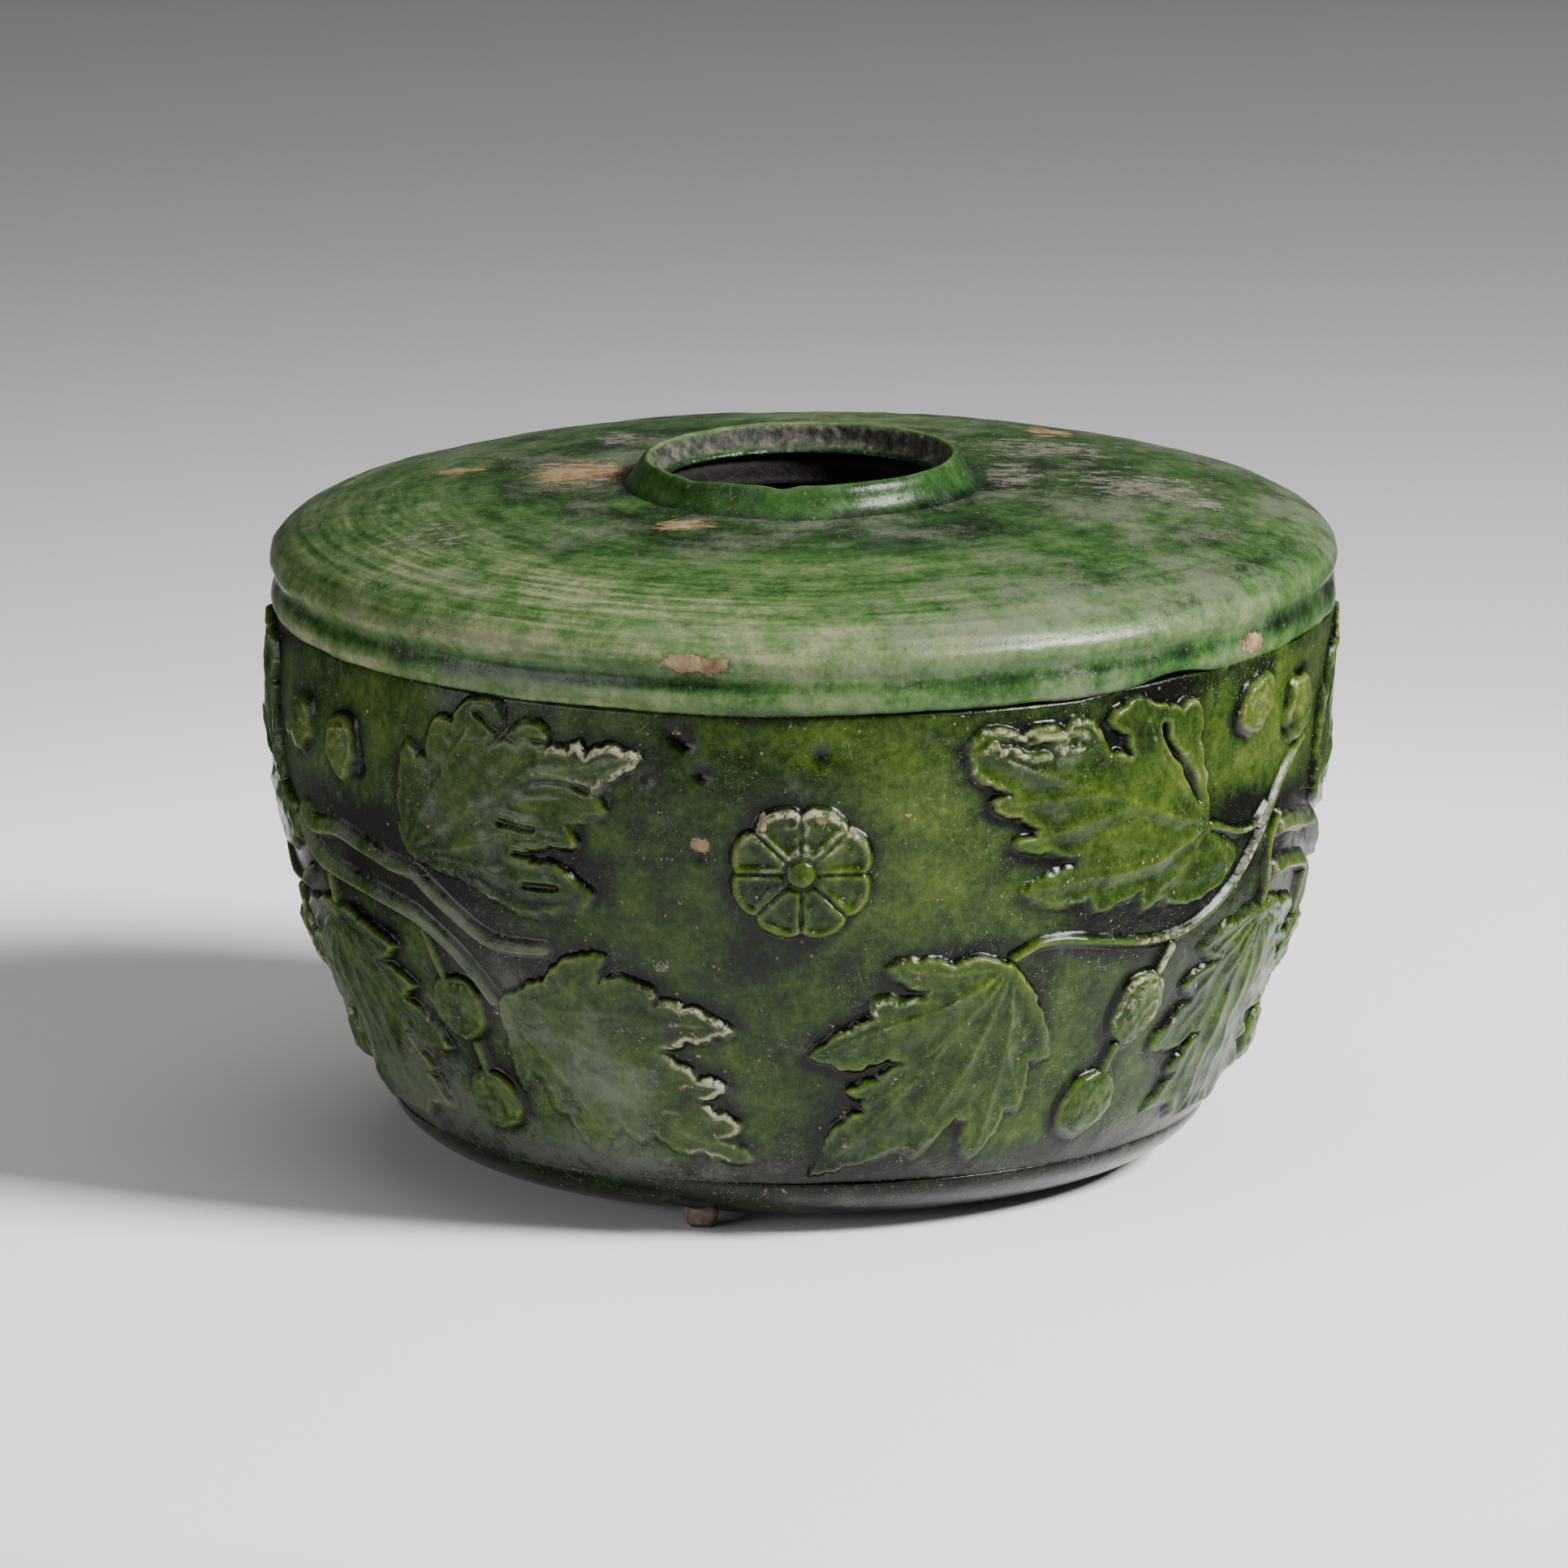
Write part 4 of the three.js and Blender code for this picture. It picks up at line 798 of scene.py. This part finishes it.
def glazed(name, stops, wear_patches=(), silver_patches=(), bloom=SILVER, milky=0.5, base=0.5, runs=(1, 1, 0.2),
           streaky=0.45, grainy=0.85, worn=0.0, rubs=0.9, gloss=0.13, inside=INSIDE_IN_PAINTED_SHADE, strokes=0.0):
    """Copper-green lead glaze over buff clay, its colour from pale to dark by how thick it lies.

    base is the thickness where nothing thins or gathers it. bloom and milky are the colour and strength of the veil
    on it, runs and streaky the shape and strength of its runs, worn how many flecks show clay, rubs how strongly the
    raised edges are rubbed, and strokes how strong the brush strokes are where the layer rub is 1.
    """
    finish = Finish(name)
    place = finish.place()
    glaze, haze, bared, rub, edge = (finish.node("Attribute", {"attribute_name": layer}, output="Fac")
                                     for layer in ("glaze", "haze", "bare", "rub", "edge"))
    cloud = finish.noise(place, 16, 3) - 0.5
    blotch = finish.noise(place, 4.5, 5, 0.65) - 0.5
    mottle = finish.noise(place, 1.1, 6, 0.75) - 0.5
    grain = finish.noise(place, 0.32, 2, 0.6) - 0.5
    run = finish.noise(finish.stretched(place, runs), 5, 5, 0.65) - 0.5
    depth = (base + glaze * 0.5 + cloud * 0.45 + blotch * 0.75 + run * streaky + mottle * grainy
             + grain * 0.35 * grainy)
    if strokes:
        depth = depth + (finish.noise(finish.turned(place), 5, 5, 0.6) - 0.5) * (rub * strokes + 0.15)
    colour = finish.ramp(depth, stops)
    clay = clay_colour(finish, place)
    # a silvery bloom, in veils that break up into grains; where the haze layer holds painted sheen, the veil paints
    # that sheen
    veil = (finish.noise(place, 7, 7, 0.72) - 0.5 + grain * 0.3 + haze * 0.35).rise(0.08, 0.34)
    colour = finish.mix(colour, (*bloom, 1), veil * milky)
    # fine pale specks, partly painted glints of light, and open pinholes
    zone = finish.noise(place, 8, 4, 0.7).rise(0.46, 0.62)
    speck_and_glint = finish.noise(place, 0.28, 2, 0.6).rise(0.64, 0.74) * zone
    colour = finish.mix(colour, (*PALE_SPECK_GLINT_AND_SCRATCH, 1), speck_and_glint * 0.7)
    holes = finish.cells(place, 1.7)
    pinhole = (holes + mottle * 0.35).rise(0.15, 0.07) * finish.noise(place, 5, 3).rise(0.5, 0.58)
    flecks = ((finish.noise(place, 2.2, 9, 0.8) + rub * 0.02).rise(0.632 - worn, 0.65 - worn)
              * finish.noise(place, 13, 2).rise(0.44, 0.5))
    # the raised edges are rubbed
    rubbed = (edge.rise(0.02, 0.3) * (finish.noise(place, 0.9, 6, 0.75) + rub * 0.12).rise(0.5, 0.6)
              * (finish.noise(place, 9, 3) + rub * 0.4).rise(0.56, 0.72))
    colour = finish.mix(colour, (*SCUFF, 1), rubbed * rubs)
    bare = pinhole.most(flecks)
    colour = finish.mix(colour, clay, bare * 0.9)
    # hair scratches
    scratch = (finish.cells(finish.stretched(place, (1, 1, 0.6)), 5, "DISTANCE_TO_EDGE").rise(0.008, 0.002)
               * finish.noise(place, 4, 5, 0.7).rise(0.57, 0.66))
    colour = finish.mix(colour, (*PALE_SPECK_GLINT_AND_SCRATCH, 1), scratch * 0.35)
    if silver_patches:
        scraped = finish.stretched(place, (0.7, 1.5, 1))
        ragged = (finish.noise(scraped, 3, 9, 0.85) - 0.47) * 7
        patch = spots(finish, place, ragged, silver_patches) * finish.noise(scraped, 1.6, 9, 0.85).rise(0.45, 0.48)
        colour = finish.mix(colour, (*SILVER_PATCH, 1), patch * 0.8)
        bare = bare.most(patch * 0.4)
    if wear_patches:
        wobble = (finish.noise(finish.stretched(place, (0.6, 1.4, 1)), 2.4, 8, 0.78) - 0.48) * 4.2
        patch = spots(finish, place, wobble, wear_patches)
        colour = finish.mix(colour, clay, patch)
        bare = bare.most(patch)
    crust = finish.noise(place, 1.6, 8, 0.72)
    colour = finish.mix(colour, finish.ramp(crust, inside), bared)
    bare = bare.most(bared)
    finish.wear("Base Color", colour)
    finish.wear("Roughness", gloss + veil * 0.2 + bare * 0.5 + rubbed * 0.3 + mottle * 0.1 + scratch * 0.2
                + speck_and_glint * 0.2)
    finish.wear("IOR", LEAD_GLAZE_IOR)
    finish.wear("Specular IOR Level", SPECULAR)
    height = (finish.noise(place, 2.6, 3, 0.5) * 0.6 + mottle * 0.3 + grain * 0.3 * zone + crust * bared * 1.5
              - bare * 0.7 - scratch * 0.2 + rubbed * 0.3)
    finish.wear("Normal", finish.bump(height, 0.2))
    return finish.material


WALL_STOPS = [(0.02, (0.15, 0.15, 0.06)), (0.17, (0.08, 0.1, 0.02)), (0.32, (0.048, 0.075, 0.009)),
              (0.47, (0.026, 0.052, 0.005)), (0.62, (0.012, 0.028, 0.003)), (0.77, (0.005, 0.011, 0.0015)),
              (0.92, (0.0018, 0.0026, 0.0014))]
SHOULDER_STOPS = [(0.02, (0.2, 0.205, 0.115)), (0.17, (0.115, 0.155, 0.064)), (0.32, (0.064, 0.115, 0.035)),
                  (0.47, (0.032, 0.08, 0.018)), (0.62, (0.015, 0.044, 0.01)), (0.77, (0.008, 0.019, 0.007)),
                  (0.92, (0.003, 0.005, 0.0035))]

# Places worn to the clay or scraped silvery: centre and half widths along X, Y and Z
shoulder_wear = [((-27, 7, 80.5), (6.0, 7.5, 6)), ((-14.3, -23.4, 80), (3.8, 3.2, 6)), ((31, 37, 79.5), (3, 4, 6)),
                 ((-12.6, -63.4, 73.6), (4.4, 8, 1.4)), ((-41.9, 13.4, 79), (4, 2.5, 6)),
                 ((53.9, -36.1, 70.4), (1.9, 1.9, 1.3))]
shoulder_silver = [((-27, 7, 80.5), (7, 9, 6)), ((25.8, 4.4, 80.8), (3.6, 8, 6)), ((41, 1.3, 79.5), (10, 9, 6)),
                   ((49, -5.2, 79), (3, 4, 6)), ((-21.5, 30.4, 80), (4, 6, 6)), ((-42.9, -20.6, 76.5), (6, 7, 6)),
                   ((30, 22, 80), (10, 8, 6))]

wall_glaze = glazed("wall_glaze", WALL_STOPS, [((-11.9, -63, 51.6), (1.0, 4, 0.9))], base=0.54, worn=0.012)
rosette_wear = [((2.5, -65, 55.2), (1.1, 4, 0.8)), ((-4.4, -65, 55.2), (0.4, 4, 0.9)),
                ((6.2, -64.5, 54), (0.5, 4, 0.8))]
relief_glaze = glazed("relief_glaze", WALL_STOPS, rosette_wear, base=0.55, worn=0.012)
foot_glaze = glazed("foot_glaze", WALL_STOPS, base=0.86, rubs=0.0)
shoulder_glaze = glazed("shoulder_glaze", SHOULDER_STOPS, shoulder_wear, shoulder_silver, PALE_BLOOM, 0.58,
                        base=0.45, runs=(1, 1, 1), streaky=0.4, grainy=0.65, rubs=0.0, gloss=0.12, strokes=1.0)
collar_glaze = glazed("collar_glaze", SHOULDER_STOPS, base=0.58, worn=0.01, runs=(1, 1, 1), streaky=0.2,
                      grainy=0.5, gloss=0.24, inside=CRUSTED_INSIDE)


def bare_clay():
    finish = Finish("spur_clay")
    place = finish.place()
    rough = finish.noise(place, 1.2, 6, 0.7)
    drip = (finish.node("Attribute", {"attribute_name": "drip"}, output="Fac") + rough * 0.5).rise(0.72, 0.8)
    clay = finish.ramp(rough, [(0.3, (0.05, 0.035, 0.03)), (0.5, (0.13, 0.1, 0.08)), (0.7, (0.22, 0.18, 0.15))])
    finish.wear("Base Color", finish.mix(clay, (0.006, 0.007, 0.005, 1), drip))
    finish.wear("Roughness", 0.85 - drip * 0.6)
    finish.wear("Specular IOR Level", SPECULAR)
    finish.wear("Normal", finish.bump(finish.noise(place, 0.6, 6, 0.7), 0.3))
    return finish.material


spur_clay = bare_clay()


# Bowl wall

SMEAR_RISE = 0.8                         # how far its clay is smeared up over the slab's foot on the right


def bowl_wall(columns=720, rows=118):
    u = np.arange(columns) / columns * ROUND
    smear = SMEAR_RISE * ease(u, 33, 40) * ease(u, 130, 100) * (1 + 0.4 * lumps(u, 0 * u, 6, 91))
    outside_v = FOOT_LINE + np.linspace(0, 1, rows)[:, None] * (SEAM + smear - FOOT_LINE)
    outside_r = wall_radius(u[None, :], outside_v) + 0.35 * ease(outside_v, SEAM - 1, SEAM) * smear
    lip_in = np.array([0.35, WALL / 2])[:, None]
    inner_v = np.array([SEAM, 60, 50, 40, 30, 22, 16, 11, 8, FOOT_LINE])[:, None] + 0 * u
    radius = np.vstack([outside_r, outside_r[-1] - lip_in, wall_radius(u[None, :], inner_v) - WALL])
    height = np.vstack([outside_v, outside_v[-1] + 0 * lip_in, inner_v])
    layers = {}
    for key, field in WALL_LAYERS.items():
        layers[key] = np.full(radius.shape, 0.9 if key == "glaze" else 0.0)
        layers[key][:rows] = read_off(field, u[None, :], outside_v)
    bare = np.zeros(radius.shape)
    bare[rows + len(lip_in):] = 1
    thrown_piece("bowl_wall", radius, height, wall_glaze, "glazed_body", bare=bare, **layers)


FOOT_PROFILE = [(1.5, 2.2), (20, 2.2), (34.6, 2.2), (35.6, 2.0), (36.4, 1.3), (38, 1.2), (40.6, 1.2), (42.0, 1.4),
                (44.5, 2.1), (46.6, 3.2), (47.8, 4.1), (48.7, 4.9), (49.3, 5.6), (49.65, 6.2), (49.75, 6.7),
                (49.3, 7.0), (46, 6), (40, 5.3), (1.5, 5.3)]
FOOT_INSIDE = 4                          # how many of these points are on its upper side, inside the bowl


def base_disc(columns=360, steps=5):
    angle = np.arange(columns) / columns * 2 * math.pi
    outline = smooth_path(FOOT_PROFILE, steps)
    wave = 0.12 * np.sin(3 * angle + 1) + 0.08 * np.sin(7 * angle)
    radius = outline[:, :1] + wave * ease(outline[:, :1], 38, 47)
    height = outline[:, 1:] + 0 * angle
    glaze = 0.1 * np.sin(3 * angle) - 0.12 * hump(height - 6.4, 0.4)
    bare = (np.arange(len(outline))[:, None] > steps * (len(FOOT_PROFILE) - FOOT_INSIDE)) + 0 * angle
    thrown_piece("base_disc", radius, height, foot_glaze, "glazed_body", closed=False, glaze=glaze,
                 haze=0.15 + 0 * radius, bare=bare)


# Shoulder slab and collar. s is the way along the outside, in millimetres.

SLAB_OUTSIDE = [(63.6, 0), (64.5, 0.35), (64.8, 1.2), (64.7, 2.3), (64.4, 3.3), (64.3, 4.1), (64.85, 5.0),
                (64.95, 6.1), (64.4, 7.3), (63.0, 8.7), (59.3, 10.4), (52.3, 12.05), (45, 12.95), (38.3, 13.55),
                (30, 14.0), (24.5, 14.2), (22.2, 14.35)]
SLAB_INSIDE = [(19.9, 13.95), (18.2, 13.55), (17.8, 12.55), (17.9, 10.95), (18.6, 10.15), (30, 9.75), (45, 8.65),
               (55, 6.25), (58.6, 3.75), (59.5, 1.75), (60, 0)]
TILT = 0.36                              # the slab's middle lies this much higher than its left, its right twice that
RING_SPACING, FINE_RING_SPACING, RING_RISE = 2.3, 1.35, 0.11
HOLLOW = (47.4, 4.6, 1.0)                # where the slab's foot is pressed in over a leaf: u, half width, depth
DENT = (-0.197 * GIRTH, 4.2, 0.45)       # a chip in the slab's edge, written the same way


def tilted(u, radius, height):
    return height + TILT * (1 + radius / 65 * np.sin(np.asarray(u) / GIRTH))


def along_normal(outline):
    ahead = np.gradient(outline, axis=0)
    length = np.hypot(ahead[:, 0], ahead[:, 1])[:, None]
    return np.stack([ahead[:, 1], -ahead[:, 0]], 1) / length


def angle_from(angle, middle):
    """How far round from the middle, either way."""
    return (angle - middle + math.pi) % (2 * math.pi) - math.pi


def shoulder_slab(columns=640):
    outside = smooth_path(SLAB_OUTSIDE, 8)
    lengths = np.concatenate([[0], np.cumsum(np.hypot(*np.diff(outside, axis=0).T))])
    s = np.linspace(0, lengths[-1], 130)
    outside = np.stack([np.interp(s, lengths, outside[:, k]) for k in (0, 1)], 1)
    u = (np.arange(columns) / columns * ROUND)[None, :]
    angle = u / GIRTH
    rho = outside[:, :1] + 0 * u
    way = s[:, None] + 0 * u
    wander = 1.4 * lumps(u, way, 34, 71) + 0.9 * np.sin(angle + 0.4)
    rings = (np.sin(2 * math.pi * (way + wander) / RING_SPACING)
             + 0.6 * np.sin(2 * math.pi * (way + 1.7 * wander) / FINE_RING_SPACING + 1))
    left_front = 0.35 + 0.65 * np.clip(np.cos(angle + 0.7), 0, 1)
    ring_zone = hump(way - 15, 8) * left_front
    ring_height = RING_RISE * rings * ring_zone * (0.5 + 0.5 * lumps(u, way, 18, 72))
    uneven = (0.2 * lumps(u, way, 30, 73) * ease(way, 0, 4) + 0.09 * lumps(u, way, 8, 74)
              + 0.05 * lumps(u, way, 3, 75))
    band = ease(way, 8, 5)
    uneven = uneven + band * (0.16 * lumps(u, way * 2, 9, 77) + 0.1 * lumps(u, way * 2, 4, 78))
    dent = -DENT[2] * hump(round_gap(u, DENT[0]), DENT[1]) * hump(way - 5.4, 1.3)
    hollow = hump(round_gap(u, HOLLOW[0]), HOLLOW[1]) * hump(way - 0.7, 1.3)
    out = ring_height + uneven + dent - HOLLOW[2] * hollow
    normal = along_normal(outside)
    shift = 0.3 * np.sin(angle)
    radius = rho + normal[:, :1] * out + shift
    height = tilted(u, rho, SEAM + outside[:, 1:] + normal[:, 1:] * out) - TILT * ease(way, 6, 0)
    inside = smooth_path(SLAB_INSIDE, 2)
    inner_r = inside[:, :1] + 0 * u
    inner_z = tilted(u, inner_r, SEAM + inside[:, 1:] + 0 * u)
    inner_z[-1] = SEAM
    bright_left = np.clip(np.cos(angle + 0.75), 0, 1)
    glaze = (0.12 - 0.5 * bright_left * hump(way - 16, 15) + 0.5 * hump(way - 3.9, 0.8) + 0.45 * hump(way, 0.8)
             + 0.3 * hump(s[-1] - way, 2.4) + 0.3 * hump(s[-1] - way - 8, 8) - 0.28 * hump(way - 1.9, 1.0)
             - 0.3 * hump(way - 7.4, 1.8) - 2.6 * ring_height + 0.16 * lumps(u, way * 3, 22, 76)
             + band * (0.35 * lumps(u, way * 3, 14, 79) + 0.04) + 0.8 * hollow
             + 0.22 * lumps(u, (way + wander) * 10, 24, 83) + 0.14 * lumps(u, (way + wander) * 18, 20, 84)
             - 0.16 * band * hump(angle_from(angle, 0.7), 0.7)
             - 0.2 * hump(angle_from(angle, 0.05), 0.5) * hump(way - 12, 5))
    haze = 0.45 - 0.4 * bright_left * hump(way - 18, 16) - 0.2 * hump(way - 4, 4) + 0.3 * lumps(u, way, 16, 80)
    haze = haze + 0.35 * hump(angle_from(angle, 0.4), 1.0) * hump(way - 10, 8)
    brushed = bright_left * hump(way - 20, 12)
    inner = np.zeros(inner_r.shape)
    thrown_piece("shoulder_slab", np.vstack([radius, inner_r]), np.vstack([height, inner_z]), shoulder_glaze,
                 "glazed_shoulder", glaze=np.vstack([glaze, inner]), haze=np.vstack([haze, inner]),
                 bare=np.vstack([0 * glaze, inner + 1]), rub=np.vstack([brushed, inner]))


NOTCHES = [(-0.12, 0.08, 0.4), (-0.75, 0.12, 0.25)]      # chips in the lip: angle, half width, depth
COLLAR_OUTSIDE = [(22.9, 13.6), (22.7, 14.0), (21.6, 14.4), (20.8, 15.1), (20.2, 16.1), (19.8, 17.1), (19.4, 17.7)]
COLLAR_LIP = [(18.95, 17.95), (18.5, 17.8), (18.2, 17.3)]
COLLAR_INSIDE = [(18.1, 16.6), (17.95, 15.8), (17.5, 15.2), (16.9, 14.8), (16.9, 14.3), (18.4, 13.9), (20, 13.75)]


def mouth_collar(columns=480, steps=5):
    outline = smooth_path(COLLAR_OUTSIDE + COLLAR_LIP + COLLAR_INSIDE, steps)
    u = (np.arange(columns) / columns * ROUND)[None, :]
    angle = u / GIRTH
    height = outline[:, 1:] + 0 * u
    up = ease(height, 15, 18)
    worn_lip = -0.1 * (1 + lumps(u, 5 + 0 * u, 9, 81)) * up
    notch = -sum(depth * hump(angle_from(angle, middle), width) for middle, width, depth in NOTCHES) * up
    way = np.arange(len(outline))[:, None] + 0 * u
    lip_row = steps * (len(COLLAR_OUTSIDE) + 0.5)
    ledge_row = steps * (len(COLLAR_OUTSIDE) + len(COLLAR_LIP) + 2)
    slope = ease(way, lip_row + 3, lip_row + 6)
    inner = slope * ease(way, ledge_row + 3, ledge_row)
    crust = (0.12 * lumps(u, height * 3.4, 3.1, 82) + 0.08 * lumps(u, height * 3, 1.3, 85)) * slope
    radius = outline[:, :1] + 0.15 * np.sin(2 * angle + 1) * up + crust
    z = tilted(u, radius, SEAM + height + worn_lip + notch) + 0.25 * np.sin(angle) * up
    glaze = 0.5 * hump(height - 14.2, 0.7) - 0.05 - 0.6 * hump(way - lip_row, 4)
    thrown_piece("mouth_collar", radius, z, collar_glaze, "glazed_shoulder", glaze=glaze, haze=0.1 + 0 * radius,
                 bare=inner)


def lump(middle, half_widths, rings, sides, roughness, turn_by):
    """A closed lump: its points, outward first, and its faces."""
    up, turn = np.meshgrid(np.linspace(0, math.pi, rings + 1)[1:-1], np.arange(sides) * 2 * math.pi / sides,
                           indexing="ij")
    ways = np.stack([np.sin(up) * np.cos(turn), np.sin(up) * np.sin(turn), -np.cos(up)], -1).reshape(-1, 3)
    ways = np.vstack([ways, [(0, 0, -1), (0, 0, 1)]])
    across, tall = np.arctan2(ways[:, 1], ways[:, 0]) + turn_by, ways[:, 2]
    swell = 1 + roughness * (np.sin(3 * across + tall) + 0.5 * np.sin(5 * across - 4 * tall)
                             + 0.4 * np.sin(8 * tall + 2 * across))
    points = ways * swell[:, None] * half_widths + middle
    ring, side = np.mgrid[0:rings - 2, 0:sides]
    following = (side + 1) % sides
    faces = np.stack([ring * sides + side, ring * sides + following, (ring + 1) * sides + following,
                      (ring + 1) * sides + side], -1).reshape(-1, 4).tolist()
    low, high, last = (rings - 1) * sides, (rings - 1) * sides + 1, (rings - 2) * sides
    for side in range(sides):
        following = (side + 1) % sides
        faces += [(low, following, side), (high, last + side, last + following)]
    return points, faces


FIRST_SPUR = -15.6                       # degrees round from the front
SPUR_REACH = 44.5
PEBBLE_MIDDLE, PEBBLE_HALF = (0, 0, 1.75), (2.1, 2.2, 1.85)
DRIP_MIDDLE, DRIP_HALF = (-0.9, -1.5, 3.7), (4.2, 1.6, 1.0)


def kiln_spur(number):
    """A pebble of bare clay where a kiln spur broke away, in a collar of dark glaze."""
    angle = math.radians(FIRST_SPUR + 120 * (number - 1))
    pebble, faces = lump(PEBBLE_MIDDLE, PEBBLE_HALF, 16, 32, 0.07, number)
    pebble[:, 2] = np.maximum(pebble[:, 2], 0)
    drip, more = lump(DRIP_MIDDLE, DRIP_HALF, 16, 40, 0.08, 2 * number)
    x, y, z = (np.vstack([pebble, drip]) - (0, SPUR_REACH, 0)).T
    turned = np.stack([x * math.cos(angle) - y * math.sin(angle), x * math.sin(angle) + y * math.cos(angle), z], 1)
    faces = faces + [tuple(k + len(pebble) for k in face) for face in more]
    make_piece(f"kiln_spur_{number}_clay", turned, faces, spur_clay, "bare_clay", [f"kiln_spur_{number}"],
               drip=np.arange(len(turned)) >= len(pebble))


bowl_wall()
base_disc()
shoulder_slab()
mouth_collar()
for number in (1, 2, 3):
    kiln_spur(number)
for sprig in Sprig.every:
    raised_piece(sprig, relief_glaze)


# Studio

CAMERA_DISTANCE = 1.9
CAMERA_RISE = math.radians(13.2)
LENS = 357.0
FRAME = 1932
AIM_HEIGHT = 0.042
AIM_PIXEL = (987, 991)                   # where the camera's target lies in the picture
CARD_FRONT = 0.35                        # how far in front of the pot the cards begin
WORLD_LIGHT = 0.06


def camera():
    data = bpy.data.cameras.new("camera")
    data.lens = LENS
    data.shift_x = (FRAME / 2 - AIM_PIXEL[0]) / FRAME
    data.shift_y = (AIM_PIXEL[1] - FRAME / 2) / FRAME
    data.clip_end = 20
    eye = put("camera", data)
    back = Vector((0, -math.cos(CAMERA_RISE), math.sin(CAMERA_RISE)))
    eye.location = Vector((0, 0, AIM_HEIGHT)) + back * CAMERA_DISTANCE
    eye.rotation_euler = (-back).to_track_quat("-Z", "Y").to_euler()
    bpy.context.scene.camera = eye


def softbox(name, place, size, power, aim=(0, 0, 0.05)):
    data = bpy.data.lights.new(name, "AREA")
    data.shape = "RECTANGLE"
    data.size, data.size_y = size
    data.energy = power
    light = put(name, data)
    light.location = place
    light.rotation_euler = (Vector(aim) - Vector(place)).to_track_quat("-Z", "Y").to_euler()


def stage_piece(name, points, faces, distance, greys):
    """Matt paper or card. Its grey goes by the distance that is worked out for each place."""
    mesh = bpy.data.meshes.new(name)
    mesh.from_pydata(points, [], faces)
    mesh.shade_smooth()
    finish = Finish(name)
    finish.wear("Base Color", finish.ramp(distance(finish), [(far, (grey,) * 3) for far, grey in greys]))
    finish.wear("Roughness", 0.9)
    mesh.materials.append(finish.material)
    piece = put(name, mesh)
    return piece


def sweep():
    """A pale paper sweep: flat under the pot, rising far behind it, and painted darker the farther it is: painted
    shade of the light falling off.
    """
    outline = [(-2.5, 0), (0.9, 0), (1.3, 0.04), (1.7, 0.16), (2.05, 0.38), (2.3, 0.7), (2.45, 1.2), (2.5, 2.4)]
    points = [(x, y, z) for y, z in outline for x in (-3, 3)]
    faces = [(2 * i, 2 * i + 1, 2 * i + 3, 2 * i + 2) for i in range(len(outline) - 1)]
    stage_piece("paper_sweep", points, faces,
                lambda finish: finish.node("VectorMath", {"operation": "LENGTH"}, {0: finish.place()}, "Value"),
                [(0.19, 0.86), (0.264, 0.62), (0.34, 0.49), (0.42, 0.37), (0.5, 0.28), (0.57, 0.225),
                 (0.66, 0.182), (0.78, 0.15), (0.95, 0.06)])


def card(name, corners, greys):
    """A card beside the picture, darker towards the back, for the glaze to mirror. Nothing else sees it."""
    board = stage_piece(name, [(x, y, 0.0005) for x, y in corners], [tuple(range(len(corners)))],
                        lambda finish: finish.node("SeparateXYZ", None, {"Vector": finish.place()}, "Y") + CARD_FRONT,
                        greys)
    board.visible_camera = board.visible_shadow = board.visible_diffuse = False


camera()
sweep()
card("dark_card_left", [(-0.1, -0.35), (-0.1, -0.2), (-0.155, 1.0), (-1.5, 1.0), (-1.5, -0.35)],
     [(0.05, 0.6), (0.25, 0.4), (0.38, 0.2), (0.5, 0.07), (0.7, 0.03)])
card("grey_card_right", [(0.1, -0.2), (0.8, -0.2), (0.8, 1.0), (0.155, 1.0)],
     [(0.1, 0.16), (0.35, 0.07), (0.6, 0.04)])
softbox("key", (1.15, -0.53, 1.0), (0.42, 0.42), 74)
softbox("overhead", (0, 0, 2.0), (1.5, 1.5), 10)
softbox("left_fill", (-0.95, -0.6, 0.22), (1.0, 0.35), 6)
world = bpy.data.worlds.new("studio")
bpy.context.scene.world = world
world.use_nodes = True
background = world.node_tree.nodes["Background"].inputs
background["Color"].default_value = (1, 1, 1, 1)
background["Strength"].default_value = WORLD_LIGHT
